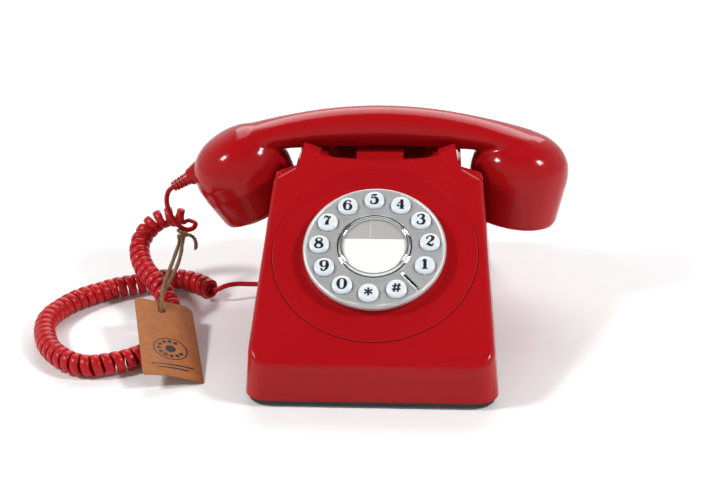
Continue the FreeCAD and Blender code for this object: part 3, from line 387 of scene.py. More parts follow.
def tag_outline(bm):
    """The card's flat shape, with rounded corners and a string hole."""
    w, h = TAG_WIDE, TAG_TALL
    corners = [bm.verts.new(p) for p in ((0, 0, 0), (w, 0, 0), (w, h, 0), (0, h, 0))]
    bm.faces.new(corners)
    rounds = ((corners[2], 0.0062), (corners[3], 0.0022), (corners[0], 0.0012), (corners[1], 0.0012))
    for corner, offset in rounds:
        bmesh.ops.bevel(bm, geom=[corner], affect="VERTICES", offset=offset, segments=8, profile=0.5,
                        material=-1, offset_type="OFFSET")
    rim = list(bm.edges)
    bmesh.ops.delete(bm, geom=list(bm.faces), context="FACES_ONLY")
    made = bmesh.ops.create_circle(bm, cap_ends=False, segments=24, radius=HOLE_RADIUS,
                                   matrix=Matrix.Translation((HOLE_ACROSS, HOLE_UP, 0)))
    hole = list({edge for vert in made["verts"] for edge in vert.link_edges})
    bmesh.ops.bridge_loops(bm, edges=rim + hole)


def slice_up(bm):
    """Cuts the card into strips both ways, so that it can bow."""
    cuts = [((TAG_WIDE * k / TAG_COLUMNS, 0, 0), (1, 0, 0)) for k in range(1, TAG_COLUMNS)]
    cuts += [((0, TAG_TALL * k / TAG_ROWS, 0), (0, 1, 0)) for k in range(1, TAG_ROWS)]
    for place, facing in cuts:
        geom = bm.verts[:] + bm.edges[:] + bm.faces[:]
        bmesh.ops.bisect_plane(bm, geom=geom, plane_co=place, plane_no=facing, dist=1e-6)


def lay_on_tag(bm):
    for vert in bm.verts:
        vert.co = on_tag(vert.co.x, vert.co.y, vert.co.z)


def make_tag(card):
    bm = bmesh.new()
    tag_outline(bm)
    slice_up(bm)
    bmesh.ops.recalc_face_normals(bm, faces=bm.faces)
    if sum(face.normal.z for face in bm.faces) < 0:
        bmesh.ops.reverse_faces(bm, faces=bm.faces)
    bmesh.ops.solidify(bm, geom=bm.faces[:], thickness=TAG_THICK)
    coords = bm.loops.layers.uv.new("card")
    for face in bm.faces:
        for loop in face.loops:
            loop[coords].uv = (loop.vert.co.x * CARD_SCALE, loop.vert.co.y * CARD_SCALE)
    lay_on_tag(bm)
    bmesh.ops.recalc_face_normals(bm, faces=bm.faces)
    tag = finished("kraft_tag", bm, card, 50)
    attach(tag, "case")
    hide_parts("swing_tag")


def make_mark(ink):
    """The mark printed on the tag, lying just clear of the card."""
    mark = bmesh.new()
    middle = Vector((TAG_WIDE / 2, MARK_UP, 0))
    for k in range(MARK_HOLES):
        turn = math.radians(60 + 30 * k)
        spot = middle + Vector((math.cos(turn), math.sin(turn), 0)) * HOLE_CIRCLE
        bmesh.ops.create_circle(mark, cap_ends=True, segments=16, radius=MARK_HOLE,
                                matrix=Matrix.Translation(spot))
    bmesh.ops.create_circle(mark, cap_ends=True, segments=32, radius=MARK_HUB,
                            matrix=Matrix.Translation(middle))
    loops = []
    for radius in (RING_OUTER, RING_INNER):
        made = bmesh.ops.create_circle(mark, cap_ends=False, segments=64, radius=radius,
                                       matrix=Matrix.Translation(middle))
        loops += list({edge for vert in made["verts"] for edge in vert.link_edges})
    bmesh.ops.bridge_loops(mark, edges=loops)
    for height, half in RULES:
        place = Matrix.Translation((middle.x, height, 0)) @ Matrix.Diagonal((half, RULE_HALF, 1, 1))
        bmesh.ops.create_grid(mark, x_segments=14, y_segments=1, size=1.0, matrix=place)
    for vert in mark.verts:
        vert.co.z = MARK_LIFT
    lay_on_tag(mark)
    print_mark = finished("tag_mark", mark, ink, 60)
    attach(print_mark, "case")


# ---- materials -----------------------------------------------------------

def socket(group, name, kind, direction, value=None):
    """Adds a named way in or out to a node group."""
    made = group.interface.new_socket(name=name, in_out=direction, socket_type=kind)
    if value is not None:
        made.default_value = value


def surface_group():
    """Slow ripple and fine grain of a moulded or cast surface, and smudges for its roughness."""
    group = bpy.data.node_groups.new("moulded_surface", "ShaderNodeTree")
    socket(group, "Place", "NodeSocketVector", "INPUT")
    socket(group, "Grain Size", "NodeSocketFloat", "INPUT", 900.0)
    socket(group, "Gloss", "NodeSocketFloat", "INPUT", 0.2)
    socket(group, "Smudge", "NodeSocketFloat", "INPUT", 0.05)
    socket(group, "Height", "NodeSocketFloat", "OUTPUT")
    socket(group, "Roughness", "NodeSocketFloat", "OUTPUT")
    nodes, links = group.nodes, group.links
    start = nodes.new("NodeGroupInput")
    end = nodes.new("NodeGroupOutput")
    grain = nodes.new("ShaderNodeTexNoise")
    grain.inputs["Detail"].default_value = 4
    ripple = nodes.new("ShaderNodeTexNoise")
    ripple.inputs["Scale"].default_value = 18
    ripple.inputs["Detail"].default_value = 2
    weigh = nodes.new("ShaderNodeMath")
    weigh.operation = "MULTIPLY_ADD"
    weigh.inputs[1].default_value = 6
    marks = nodes.new("ShaderNodeTexNoise")
    marks.inputs["Scale"].default_value = 45
    marks.inputs["Detail"].default_value = 6
    spread = nodes.new("ShaderNodeMath")
    spread.operation = "MULTIPLY_ADD"
    for tex in (grain, ripple, marks):
        links.new(start.outputs["Place"], tex.inputs["Vector"])
    links.new(start.outputs["Grain Size"], grain.inputs["Scale"])
    links.new(ripple.outputs["Fac"], weigh.inputs[0])
    links.new(grain.outputs["Fac"], weigh.inputs[2])
    links.new(weigh.outputs[0], end.inputs["Height"])
    links.new(marks.outputs["Fac"], spread.inputs[0])
    links.new(start.outputs["Smudge"], spread.inputs[1])
    links.new(start.outputs["Gloss"], spread.inputs[2])
    links.new(spread.outputs[0], end.inputs["Roughness"])
    return group


def drift_group():
    """A colour that drifts slowly between two tones."""
    group = bpy.data.node_groups.new("tone_drift", "ShaderNodeTree")
    socket(group, "Place", "NodeSocketVector", "INPUT")
    socket(group, "Tone", "NodeSocketColor", "INPUT", (0.5, 0.5, 0.5, 1))
    socket(group, "Second Tone", "NodeSocketColor", "INPUT", (0.5, 0.5, 0.5, 1))
    socket(group, "Patch Size", "NodeSocketFloat", "INPUT", 30.0)
    socket(group, "Color", "NodeSocketColor", "OUTPUT")
    nodes, links = group.nodes, group.links
    start = nodes.new("NodeGroupInput")
    end = nodes.new("NodeGroupOutput")
    drift = nodes.new("ShaderNodeTexNoise")
    drift.inputs["Detail"].default_value = 5
    spread = nodes.new("ShaderNodeMapRange")
    spread.inputs["From Min"].default_value = 0.35
    spread.inputs["From Max"].default_value = 0.65
    mix = nodes.new("ShaderNodeMix")
    mix.data_type = "RGBA"
    links.new(start.outputs["Place"], drift.inputs["Vector"])
    links.new(start.outputs["Patch Size"], drift.inputs["Scale"])
    links.new(drift.outputs["Fac"], spread.inputs["Value"])
    links.new(spread.outputs["Result"], mix.inputs["Factor"])
    links.new(start.outputs["Tone"], mix.inputs["A"])
    links.new(start.outputs["Second Tone"], mix.inputs["B"])
    links.new(mix.outputs["Result"], end.inputs["Color"])
    return group


SURFACE = surface_group()
DRIFT = drift_group()


class Finish:
    """A material with one Principled shader, its place coordinates and the shared groups."""

    def __init__(self, name, **values):
        self.material = bpy.data.materials.new(name)
        self.material.use_nodes = True
        self.nodes = self.material.node_tree.nodes
        self.links = self.material.node_tree.links
        self.shader = self.nodes["Principled BSDF"]
        self.place = self.nodes.new("ShaderNodeTexCoord").outputs["Object"]
        for key, value in values.items():
            self.shader.inputs[key.replace("_", " ")].default_value = value

    def tones(self, first, second, patch=30.0, place=None):
        drift = self.nodes.new("ShaderNodeGroup")
        drift.node_tree = DRIFT
        drift.inputs["Tone"].default_value = (*first, 1)
        drift.inputs["Second Tone"].default_value = (*second, 1)
        drift.inputs["Patch Size"].default_value = patch
        self.links.new(place or self.place, drift.inputs["Place"])
        self.links.new(drift.outputs["Color"], self.shader.inputs["Base Color"])

    def surface(self, gloss, smudge=0.05, grain=900.0, depth=0.00001, place=None, strength=0.3):
        made = self.nodes.new("ShaderNodeGroup")
        made.node_tree = SURFACE
        made.inputs["Grain Size"].default_value = grain
        made.inputs["Gloss"].default_value = gloss
        made.inputs["Smudge"].default_value = smudge
        self.links.new(place or self.place, made.inputs["Place"])
        self.links.new(made.outputs["Roughness"], self.shader.inputs["Roughness"])
        self.bump(made.outputs["Height"], depth, strength)

    def bump(self, height, depth, strength=1.0):
        bump = self.nodes.new("ShaderNodeBump")
        bump.inputs["Distance"].default_value = depth
        bump.inputs["Strength"].default_value = strength
        self.links.new(height, bump.inputs["Height"])
        self.links.new(bump.outputs["Normal"], self.shader.inputs["Normal"])


def simple(name, first, second, gloss, smudge=0.08, grain=900.0, depth=0.00001, **values):
    """A moulded finish: two near tones, smudged gloss and a fine grain."""
    finish = Finish(name, **values)
    finish.tones(first, second)
    finish.surface(gloss, smudge, grain, depth)
    return finish.material


def face_place(finish):
    """Coordinates in millimetres on the dial's face, its middle at the origin."""
    mapping = finish.nodes.new("ShaderNodeMapping")
    mapping.vector_type = "POINT"
    back = Matrix.Rotation(-DIAL_LEAN, 4, "X")
    shift = back @ -DIAL_MIDDLE
    mapping.inputs["Rotation"].default_value = (-DIAL_LEAN, 0, 0)
    mapping.inputs["Location"].default_value = shift * 1000
    mapping.inputs["Scale"].default_value = (1000, 1000, 1000)
    finish.links.new(finish.place, mapping.inputs["Vector"])
    return mapping.outputs["Vector"]


def silver_plate():
    finish = Finish("satin_silver", Metallic=0.55)
    place = face_place(finish)
    finish.tones((0.52, 0.52, 0.515), (0.57, 0.57, 0.565), 0.05, place)
    finish.surface(0.34, 0.10, 6.0, 0.00004, place=place, strength=0.2)
    return finish.material


# the printed card, in millimetres from the middle of the dial
PANEL_FOOT = 4.6
RULE_AT = 2.2


def card_print():
    """Printed card: a grey panel over the upper third with a divider, and a fine rule under it."""
    finish = Finish("number_card_print")
    place = face_place(finish)
    split = finish.nodes.new("ShaderNodeSeparateXYZ")
    finish.links.new(place, split.inputs[0])

    def math_node(kind, a, b):
        node = finish.nodes.new("ShaderNodeMath")
        node.operation = kind
        for k, value in enumerate((a, b)):
            if isinstance(value, (int, float)):
                node.inputs[k].default_value = value
            else:
                finish.links.new(value, node.inputs[k])
        return node.outputs[0]

    x, y = split.outputs["X"], split.outputs["Y"]
    panel = math_node("GREATER_THAN", y, PANEL_FOOT)
    from_divider = math_node("ABSOLUTE", math_node("ADD", x, 2.4), 0)
    above_rule = math_node("GREATER_THAN", y, RULE_AT)
    divider = math_node("MULTIPLY", math_node("LESS_THAN", from_divider, 0.14), above_rule)
    from_rule = math_node("ABSOLUTE", math_node("SUBTRACT", y, RULE_AT), 0)
    rule = math_node("LESS_THAN", from_rule, 0.12)
    paper = finish.nodes.new("ShaderNodeMix")
    paper.data_type = "RGBA"
    paper.inputs["A"].default_value = (0.86, 0.85, 0.80, 1)
    paper.inputs["B"].default_value = (0.30, 0.29, 0.26, 1)
    finish.links.new(panel, paper.inputs["Factor"])
    lines = finish.nodes.new("ShaderNodeMix")
    lines.data_type = "RGBA"
    lines.inputs["B"].default_value = (0.55, 0.54, 0.50, 1)
    finish.links.new(math_node("MAXIMUM", divider, rule), lines.inputs["Factor"])
    finish.links.new(paper.outputs["Result"], lines.inputs["A"])
    finish.links.new(lines.outputs["Result"], finish.shader.inputs["Base Color"])
    finish.surface(0.5, 0.1, 8.0, 0.00002, place=place)
    return finish.material


def brushed(name, first, second, gloss, stretch=(1, 1, 30), metallic=1.0):
    finish = Finish(name, Metallic=metallic)
    finish.tones(first, second, 60)
    mapping = finish.nodes.new("ShaderNodeMapping")
    mapping.inputs["Scale"].default_value = stretch
    finish.links.new(finish.place, mapping.inputs["Vector"])
    finish.surface(gloss, 0.15, 700, 0.00002, place=mapping.outputs["Vector"], strength=0.5)
    return finish.material


def winding(name, first, second, pitch):
    finish = Finish(name, Metallic=0.7)
    finish.tones(first, second, 80)
    wave = finish.nodes.new("ShaderNodeTexWave")
    wave.bands_direction = "Y"
    wave.inputs["Scale"].default_value = pitch
    wave.inputs["Distortion"].default_value = 0.4
    finish.links.new(finish.place, wave.inputs["Vector"])
    finish.bump(wave.outputs["Fac"], 0.0002)
    finish.shader.inputs["Roughness"].default_value = 0.35
    return finish.material


def board_finish():
    finish = Finish("green_board")
    finish.tones((0.012, 0.10, 0.035), (0.02, 0.14, 0.05), 120)
    brick = finish.nodes.new("ShaderNodeTexBrick")
    brick.inputs["Scale"].default_value = 160
    brick.inputs["Mortar Size"].default_value = 0.03
    finish.links.new(finish.place, brick.inputs["Vector"])
    finish.bump(brick.outputs["Fac"], 0.00005)
    finish.shader.inputs["Roughness"].default_value = 0.3
    return finish.material


def kraft_card():
    finish = Finish("kraft_board", Specular_IOR_Level=0.2)
    uv = finish.nodes.new("ShaderNodeUVMap")
    uv.uv_map = "card"
    finish.tones((0.31, 0.105, 0.030), (0.37, 0.135, 0.042), 9, uv.outputs["UV"])
    fibres = finish.nodes.new("ShaderNodeTexNoise")
    fibres.inputs["Scale"].default_value = 90
    fibres.inputs["Detail"].default_value = 8
    finish.links.new(uv.outputs["UV"], fibres.inputs["Vector"])
    finish.bump(fibres.outputs["Fac"], 0.0001, 0.35)
    finish.shader.inputs["Roughness"].default_value = 0.55
    return finish.material


def jute_twine():
    finish = Finish("jute", Roughness=0.9, Sheen_Weight=0.3)
    uv = finish.nodes.new("ShaderNodeUVMap")
    uv.uv_map = "run"
    finish.tones((0.13, 0.062, 0.022), (0.30, 0.16, 0.065), 14, uv.outputs["UV"])
    wave = finish.nodes.new("ShaderNodeTexNoise")
    wave.inputs["Scale"].default_value = 30
    wave.inputs["Detail"].default_value = 6
    finish.links.new(uv.outputs["UV"], wave.inputs["Vector"])
    finish.bump(wave.outputs["Fac"], 0.0003, 0.8)
    return finish.material


def cord_sheath():
    finish = Finish("red_cord_sheath", Coat_Weight=0.06, Coat_Roughness=0.10, Specular_IOR_Level=0.22)
    uv = finish.nodes.new("ShaderNodeUVMap")
    uv.uv_map = "run"
    finish.tones((0.40, 0.006, 0.009), (0.46, 0.008, 0.012), 1.5, uv.outputs["UV"])
    finish.surface(0.26, 0.10, 40, 0.00003, place=uv.outputs["UV"], strength=0.2)
    return finish.material


def red_gloss(name, first, second):
    finish = Finish(name, Coat_Weight=0.05, Coat_Roughness=0.04, IOR=1.5, Specular_IOR_Level=0.17)
    finish.tones(first, second, 9)
    finish.surface(0.11, 0.05, 1400, 0.000006, strength=0.10)
    return finish.material


RED = red_gloss("red_shell_gloss", (0.345, 0.0052, 0.0078), (0.37, 0.006, 0.009))
PAINTS = {
    "red_shell": RED,
    "black_base": simple("black_base_matt", (0.012, 0.012, 0.012), (0.02, 0.02, 0.02), 0.5, 0.15,
                         1600, 0.00003),
    "foot_rubber": simple("foot_rubber", (0.015, 0.015, 0.015), (0.03, 0.03, 0.03), 0.75, 0.15,
                          1200, 0.00004),
    "steel": brushed("plated_steel", (0.55, 0.55, 0.54), (0.65, 0.65, 0.64), 0.25),
    "component": simple("component_bodies", (0.03, 0.03, 0.035), (0.06, 0.05, 0.05), 0.4),
    "circuit_board": board_finish(),
    "white_frame": simple("off_white_frame", (0.62, 0.62, 0.58), (0.70, 0.70, 0.66), 0.4, 0.1, 1100,
                          0.00002),
    "grey_rubber": simple("grey_silicone", (0.10, 0.10, 0.11), (0.14, 0.14, 0.15), 0.6, 0.1, 1100,
                          0.00002),
    "chrome": simple("chrome_plate", (0.72, 0.73, 0.74), (0.78, 0.79, 0.80), 0.06, 0.04, 2000,
                     0.000002, Metallic=1.0),
    "clear_window": simple("clear_window", (0.95, 0.95, 0.94), (1, 1, 1), 0.05, 0.03, 1500,
                           0.000002, Alpha=0.10, IOR=1.49),
    "card": card_print(),
    "silver_plate": silver_plate(),
    "button_cap": simple("pearl_caps", (0.66, 0.72, 0.76), (0.70, 0.76, 0.80), 0.16, 0.06, 1500,
                         0.000004, Coat_Weight=0.6, Coat_Roughness=0.05,
                         Subsurface_Weight=0.15, Subsurface_Scale=0.003),
    "cord_red": simple("red_boot_sheath", (0.38, 0.006, 0.009), (0.43, 0.008, 0.012), 0.3, 0.1, 900,
                       0.00002, Coat_Weight=0.1, Specular_IOR_Level=0.3),
    "clear_plug": simple("clear_plug", (0.70, 0.70, 0.70), (0.8, 0.8, 0.8), 0.15, Alpha=0.55),
    "kraft_card": kraft_card(),
    "jute": jute_twine(),
    "copper_winding": winding("copper_winding", (0.45, 0.16, 0.05), (0.60, 0.25, 0.10), 600),
    "bell_brass": brushed("bell_brass", (0.55, 0.38, 0.14), (0.65, 0.48, 0.20), 0.22, (20, 20, 1)),
}
CORD = cord_sheath()
INK = simple("black_print", (0.006, 0.006, 0.006), (0.012, 0.012, 0.012), 0.32, 0.1)


def paint_nodes():
    for part in frame["record"]["subparts"]:
        node = NODES[part["node"]]
        node.data.materials.clear()
        node.data.materials.append(PAINTS[part["material_slot"]])


# ---- dial ----------------------------------------------------------------

FIGURE_WIDE = 0.76
FIGURE_TALL = 0.0061
# strokes of each figure: points as (across, up, thickness) in a box one high
FIGURES = {
    "1": [
        [(0.14, 0.76, 0.05), (0.24, 0.84, 0.07), (0.36, 0.98, 0.08)],
        [(0.38, 0.98, 0.14), (0.38, 0.02, 0.14)],
        [(0.12, 0.02, 0.05), (0.64, 0.02, 0.05)],
    ],
    "2": [
        [
            (0.16, 0.70, 0.12), (0.10, 0.82, 0.08), (0.20, 0.98, 0.05), (0.42, 1.04, 0.08),
            (0.64, 0.92, 0.14), (0.64, 0.70, 0.14), (0.50, 0.52, 0.10), (0.26, 0.30, 0.06),
            (0.08, 0.06, 0.05),
        ],
        [
            (0.07, 0.06, 0.05), (0.20, 0.18, 0.10), (0.38, 0.06, 0.13), (0.54, 0.00, 0.10),
            (0.66, 0.12, 0.06), (0.66, 0.24, 0.04),
        ],
    ],
    "3": [
        [
            (0.16, 0.76, 0.12), (0.10, 0.86, 0.08), (0.22, 1.00, 0.05), (0.44, 1.04, 0.08),
            (0.62, 0.90, 0.13), (0.58, 0.66, 0.12), (0.40, 0.54, 0.05), (0.28, 0.54, 0.04),
        ],
        [
            (0.32, 0.55, 0.04), (0.56, 0.52, 0.10), (0.68, 0.32, 0.14), (0.60, 0.04, 0.12),
            (0.34, -0.04, 0.06), (0.12, 0.00, 0.06), (0.06, 0.18, 0.10), (0.14, 0.24, 0.11),
        ],
    ],
    "4": [
        [(0.48, 1.00, 0.05), (0.28, 0.66, 0.04), (0.04, 0.28, 0.05)],
        [(0.04, 0.27, 0.06), (0.70, 0.27, 0.06)],
        [(0.48, 0.98, 0.14), (0.48, 0.02, 0.14)],
        [(0.28, 0.01, 0.05), (0.68, 0.01, 0.05)],
    ],
    "5": [
        [(0.18, 0.95, 0.06), (0.34, 0.92, 0.12), (0.50, 0.92, 0.12), (0.62, 1.00, 0.05)],
        [(0.19, 0.96, 0.05), (0.14, 0.54, 0.05)],
        [
            (0.14, 0.52, 0.05), (0.28, 0.66, 0.06), (0.54, 0.64, 0.12), (0.68, 0.36, 0.15),
            (0.60, 0.04, 0.12), (0.34, -0.04, 0.06), (0.12, 0.00, 0.06), (0.08, 0.18, 0.10),
            (0.16, 0.24, 0.11),
        ],
    ],
    "6": [
        [
            (0.56, 0.80, 0.12), (0.60, 0.92, 0.08), (0.44, 1.04, 0.05), (0.20, 0.92, 0.08),
            (0.08, 0.60, 0.14), (0.08, 0.30, 0.15), (0.16, 0.00, 0.08), (0.38, -0.04, 0.05),
            (0.62, 0.06, 0.11), (0.68, 0.32, 0.14), (0.58, 0.58, 0.09), (0.36, 0.64, 0.05),
            (0.20, 0.52, 0.05), (0.14, 0.36, 0.05),
        ],
    ],
    "7": [
        [
            (0.08, 0.72, 0.04), (0.10, 0.92, 0.06), (0.20, 1.02, 0.11), (0.38, 0.88, 0.12),
            (0.52, 0.86, 0.10), (0.64, 1.00, 0.05),
        ],
        [(0.62, 0.97, 0.05), (0.42, 0.62, 0.08), (0.32, 0.34, 0.15), (0.32, 0.06, 0.17)],
    ],
    "8": [
        [
            (0.38, 0.54, 0.13), (0.14, 0.64, 0.12), (0.12, 0.88, 0.09), (0.28, 1.03, 0.05),
            (0.48, 1.03, 0.05), (0.64, 0.88, 0.09), (0.60, 0.66, 0.08), (0.38, 0.54, 0.13),
            (0.12, 0.40, 0.10), (0.05, 0.16, 0.12), (0.22, -0.03, 0.06), (0.52, -0.03, 0.06),
            (0.70, 0.16, 0.13), (0.64, 0.42, 0.12), (0.38, 0.54, 0.13),
        ],
    ],
    "0": [
        [
            (0.38, 1.02, 0.05), (0.18, 0.98, 0.07), (0.06, 0.66, 0.15), (0.06, 0.34, 0.15),
            (0.18, 0.02, 0.07), (0.38, -0.02, 0.05), (0.58, 0.02, 0.07), (0.70, 0.34, 0.15),
            (0.70, 0.66, 0.15), (0.58, 0.98, 0.07), (0.38, 1.02, 0.05),
        ],
    ],
    "star": [
        [(0.38, 0.88, 0.10), (0.38, 0.48, 0.05), (0.38, 0.08, 0.10)],
        [(0.04, 0.68, 0.10), (0.38, 0.48, 0.05), (0.72, 0.28, 0.10)],
        [(0.04, 0.28, 0.10), (0.38, 0.48, 0.05), (0.72, 0.68, 0.10)],
    ],
    "hash": [
        [(0.30, 0.92, 0.09), (0.16, 0.06, 0.09)],
        [(0.62, 0.92, 0.09), (0.48, 0.06, 0.09)],
        [(0.02, 0.64, 0.08), (0.76, 0.68, 0.08)],
        [(0.00, 0.30, 0.08), (0.74, 0.34, 0.08)],
    ],
}
FIGURES["9"] = [[(FIGURE_WIDE - x, 1.0 - y, w) for x, y, w in stroke] for stroke in FIGURES["6"]]
BOLDNESS = 2.1                # how much thicker the strokes are drawn than the table says
PRINT_RELIEF = 0.10           # the strokes are pressed this flat on the button
CAP_CROWN = 18.0              # fall of the button's dome, per metre squared


def cap_height(radius):
    """How high the dome of a button stands at a radius, both in metres."""
    return CAP_TOP - CAP_CROWN * radius * radius


def make_figure(name, index, ink):
    """One button's figure, its strokes laid on the button's dome."""
    curve = bpy.data.curves.new("figure", "CURVE")
    curve.dimensions = "3D"
    curve.bevel_depth = 1.0
    curve.bevel_resolution = 3
    curve.resolution_u = 8
    curve.use_fill_caps = True
    for stroke in FIGURES[name]:
        spline = curve.splines.new("NURBS")
        spline.points.add(len(stroke) - 1)
        for spot, (x, y, width) in zip(spline.points, stroke):
            spot.co = ((x - FIGURE_WIDE / 2) * FIGURE_TALL, (y - 0.5) * FIGURE_TALL, 0, 1)
            spot.radius = width * BOLDNESS * FIGURE_TALL / 2
        spline.order_u = 3
        spline.use_endpoint_u = True
    carrier = link(bpy.data.objects.new("figure", curve))
    bpy.context.view_layer.update()
    mesh = bpy.data.meshes.new_from_object(carrier)
    bpy.data.objects.remove(carrier)
    bm = bmesh.new()
    bm.from_mesh(mesh)
    bpy.data.meshes.remove(mesh)
    for vert in bm.verts:
        vert.co.z = cap_height(math.hypot(vert.co.x, vert.co.y)) + vert.co.z * PRINT_RELIEF
    bmesh.ops.recalc_face_normals(bm, faces=bm.faces)
    x, y = button_spot(index)
    bm.transform(dial_place(x, y))
    figure = finished("figure_" + name, bm, ink, 60)
    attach(figure, "button_" + name)


def make_buttons():
    dome = [(0, CAP_TOP / MM)] + [(r, cap_height(r * MM) / MM) for r in (0.9, 1.8, 2.7, 3.5, 4.1)]
    dome += [(4.62, 8.06), (5.02, 7.82), (5.30, 7.5), (5.44, 7.12), (5.5, 6.7), (5.5, 4.6), (0, 4.6)]
    for index, name in enumerate(BUTTONS):
        bm = turned(dome, 48)
        x, y = button_spot(index)
        bm.transform(dial_place(x, y))
        cap = finished("cap_" + name, bm, PAINTS["button_cap"], 50)
        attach(cap, "button_" + name)
        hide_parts("button_" + name)
        make_figure(name, index, INK)


def make_bezel():
    profile = [
        (17.4, 6.0), (20.5, 6.0), (20.5, 6.35), (20.35, 6.6), (20.0, 6.72), (19.7, 6.62), (19.45, 6.5),
        (19.2, 6.62), (18.95, 7.0), (18.6, 7.5), (18.2, 7.85), (17.9, 7.9), (17.6, 7.75),
        (17.35, 7.45), (17.0, 7.2), (16.85, 7.1), (17.4, 7.0), (17.4, 6.0),
    ]
    bm = turned(profile, 96)
    bm.transform(dial_place())
    bezel = finished("chrome_bezel", bm, PAINTS["chrome"], 45)
    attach(bezel, "case")
    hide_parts("card_bezel")
    bm = turned([(0, 7.5), (6, 7.46), (11, 7.36), (15, 7.2), (17.2, 7.05), (17.2, 6.5), (0, 6.5)], 96)
    bm.transform(dial_place())
    window = finished("card_lens", bm, PAINTS["clear_window"], 45)
    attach(window, "case")
    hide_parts("card_window")


# ---- handset -------------------------------------------------------------

HANDLE_Y = 0.046
HANDLE_OUTLINE = [
    (1.0, 0.06), (0.86, 0.52), (0.56, 0.88), (0.0, 1.0), (-0.56, 0.88), (-0.86, 0.52),
    (-1.0, 0.06), (-0.84, -0.52), (-0.56, -0.90), (0.0, -1.0), (0.56, -0.90), (0.84, -0.52),
]
CUP_PROFILE = [
    (0, -9.0), (28.4, -9.0), (28.4, 0), (28.8, 6), (28.0, 12), (26.9, 15.6), (25.0, 18.8),
    (22.3, 21.9), (18.9, 24.4), (15.2, 26.3), (11.0, 27.6), (6.0, 28.4), (0, 28.6),
]
CUP_PLACES = ((-1, 28.0, 0.0728), (1, 10.0, 0.0713))    # side, lean in degrees, height of the seam
CUP_X = 0.0798
SEAM_REACH = 0.036            # faces further than this from a seam aren't cut by it
# the handle at its middle, how far its top and bottom fall by the place DROP_AT, and its flare
HANDLE_TOP, TOP_DROP = 0.1152, 0.0059
HANDLE_BOTTOM, BOTTOM_DROP = 0.0932, 0.0017
DROP_AT = 0.053
HANDLE_HALF_DEEP = 0.014
FLARE_FROM, FLARE = 0.055, 0.12
HANDLE_HALF_LONG = 0.088
STATION_GAP = 0.004
RING_POINTS = 48
JOIN_VOXEL = 0.0009
SMOOTHINGS = 14


def outline_point(share):
    """A point of the handle's outline, drawn smoothly through its corner points."""
    count = len(HANDLE_OUTLINE)
    place = share * count
    i = int(place)
    t = place - i
    before, first, second, after = (Vector(HANDLE_OUTLINE[(i + k) % count]) for k in (-1, 0, 1, 2))
    return 0.5 * (2 * first + (second - before) * t + (2 * before - 5 * first + 4 * second - after) * t * t
                  + (3 * first - before - 3 * second + after) * t ** 3)


def handle_ring(bm, x):
    """One closed section of the handle at a place along it."""
    far = (x / DROP_AT) ** 2
    top = HANDLE_TOP - TOP_DROP * far
    bottom = HANDLE_BOTTOM - BOTTOM_DROP * far
    half = HANDLE_HALF_DEEP + max(0.0, abs(x) - FLARE_FROM) * FLARE
    ring = bmesh.ops.create_circle(bm, cap_ends=False, segments=RING_POINTS, radius=1.0)["verts"]
    for k, vert in enumerate(ring):
        across, up = outline_point(k / RING_POINTS)
        vert.co = (x, HANDLE_Y + half * across, (top + bottom) / 2 + (top - bottom) / 2 * up)
    return ring


def ring_edges(ring):
    inside = set(ring)
    edges = {edge for vert in ring for edge in vert.link_edges}
    return [edge for edge in edges if all(vert in inside for vert in edge.verts)]


def cup_place(side, tilt, seam):
    lean = Matrix.Rotation(math.radians(side * tilt), 4, "Y")
    return Matrix.Translation((side * CUP_X, HANDLE_Y, seam)) @ lean


def make_handset():
    """Handle and both cups as one moulding: joined, smoothed, and cut off square at the seams."""
    bm = bmesh.new()
    count = round(2 * HANDLE_HALF_LONG / STATION_GAP) + 1
    stations = [-HANDLE_HALF_LONG + STATION_GAP * k for k in range(count)]
    rings = [handle_ring(bm, x) for x in stations]
    for first, second in zip(rings, rings[1:]):
        bmesh.ops.bridge_loops(bm, edges=ring_edges(first) + ring_edges(second))
    for ring in (rings[0], rings[-1]):
        bmesh.ops.contextual_create(bm, geom=ring)
    bmesh.ops.recalc_face_normals(bm, faces=bm.faces)
    for cup_at in CUP_PLACES:
        cup = turned(CUP_PROFILE, 96)
        cup.transform(cup_place(*cup_at))
        carrier = bpy.data.meshes.new("cup")
        cup.to_mesh(carrier)
        cup.free()
        bm.from_mesh(carrier)
        bpy.data.meshes.remove(carrier)
    rough = finished("handset_rough", bm, RED)
    remesh = rough.modifiers.new("join", "REMESH")
    remesh.mode = "VOXEL"
    remesh.voxel_size = JOIN_VOXEL
    bpy.context.view_layer.update()
    joined = bpy.data.meshes.new_from_object(rough.evaluated_get(bpy.context.evaluated_depsgraph_get()))
    bpy.data.objects.remove(rough)
    bm = bmesh.new()
    bm.from_mesh(joined)
    bpy.data.meshes.remove(joined)
    for _ in range(SMOOTHINGS):
        bmesh.ops.smooth_vert(bm, verts=bm.verts, factor=0.5,
                              use_axis_x=True, use_axis_y=True, use_axis_z=True)
    for cup_at in CUP_PLACES:
        place = cup_place(*cup_at)
        seam = place.to_translation()
        up = place.to_3x3() @ Vector((0, 0, 1))
        near = [face for face in bm.faces if (face.calc_center_median() - seam).length < SEAM_REACH]
        geom = near + list({e for f in near for e in f.edges}) + list({v for f in near for v in f.verts})
        cut = bmesh.ops.bisect_plane(bm, geom=geom, plane_co=seam, plane_no=up, clear_inner=True, dist=1e-7)
        rim = [item for item in cut["geom_cut"] if isinstance(item, bmesh.types.BMEdge)]
        bmesh.ops.holes_fill(bm, edges=rim, sides=0)
    bmesh.ops.recalc_face_normals(bm, faces=bm.faces)
    shell = finished("handset_moulding", bm, RED, 45)
    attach(shell, "handset")
    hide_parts("handset_handle")


# ---- studio --------------------------------------------------------------

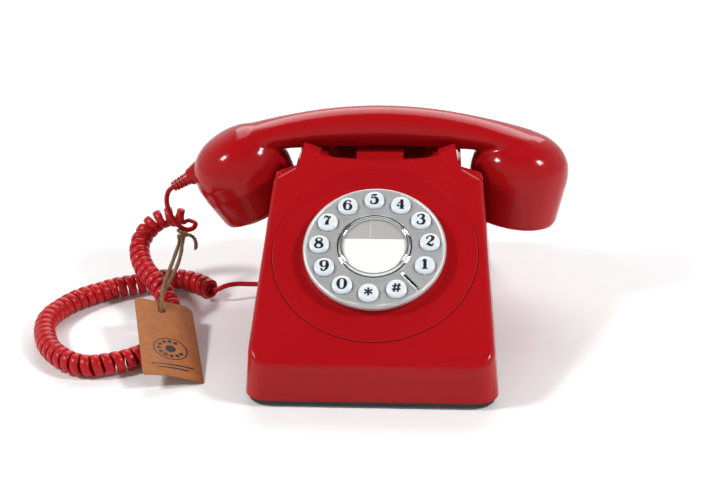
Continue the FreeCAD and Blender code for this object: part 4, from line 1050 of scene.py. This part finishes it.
FLOOR_HALF = 3.0
SKY_BELOW = (0.85, 0.85, 0.86, 1)
SKY_LEVEL = (0.55, 0.55, 0.55, 1)
SKY_ABOVE = (0.02, 0.02, 0.02, 1)
SKY_STRENGTH = 0.9
LIGHTS_AIM = (0, 0, 0.05)
LIGHTS = (
    ("left_window", (-1.1, -0.35, 1.15), 0.26, 15),
    ("right_window", (1.1, -0.35, 1.15), 0.26, 15),
    ("back_window", (0.0, 1.5, 1.3), 1.6, 22),
)


def soft_light(name, place, size, watts):
    data = bpy.data.lights.new(name, "AREA")
    data.shape = "SQUARE"
    data.size = size
    data.energy = watts
    lamp = link(bpy.data.objects.new(name, data))
    lamp.location = place
    lamp.rotation_euler = (Vector(LIGHTS_AIM) - Vector(place)).to_track_quat("-Z", "Y").to_euler()


def make_studio():
    bm = bmesh.new()
    bmesh.ops.create_grid(bm, x_segments=8, y_segments=8, size=FLOOR_HALF)
    white = simple("studio_floor", (0.86, 0.86, 0.86), (0.88, 0.88, 0.88), 0.6, 0.05)
    floor = finished("studio_floor", bm, white)
    world = bpy.data.worlds.new("studio")
    bpy.context.scene.world = world
    world.use_nodes = True
    nodes, links = world.node_tree.nodes, world.node_tree.links
    sky = nodes["Background"]
    coords = nodes.new("ShaderNodeTexCoord")
    split = nodes.new("ShaderNodeSeparateXYZ")
    ramp = nodes.new("ShaderNodeValToRGB")
    tones = ramp.color_ramp.elements
    tones[0].position, tones[0].color = 0.0, SKY_BELOW
    tones[1].position, tones[1].color = 0.9, SKY_ABOVE
    middle = tones.new(0.5)
    middle.color = SKY_LEVEL
    links.new(coords.outputs["Generated"], split.inputs[0])
    links.new(split.outputs["Z"], ramp.inputs["Fac"])
    links.new(ramp.outputs["Color"], sky.inputs["Color"])
    sky.inputs["Strength"].default_value = SKY_STRENGTH
    for light in LIGHTS:
        soft_light(*light)
    view = bpy.context.scene.view_settings
    view.view_transform = "Standard"
    view.look = "None"
    view.exposure = 0.0
    view.gamma = 1.0


aim_camera()
paint_nodes()
make_cord(CORD)
twine, twine_path = make_twine(PAINTS["jute"])
make_tag(PAINTS["kraft_card"])
make_mark(INK)
make_buttons()
make_bezel()
make_handset()
make_studio()
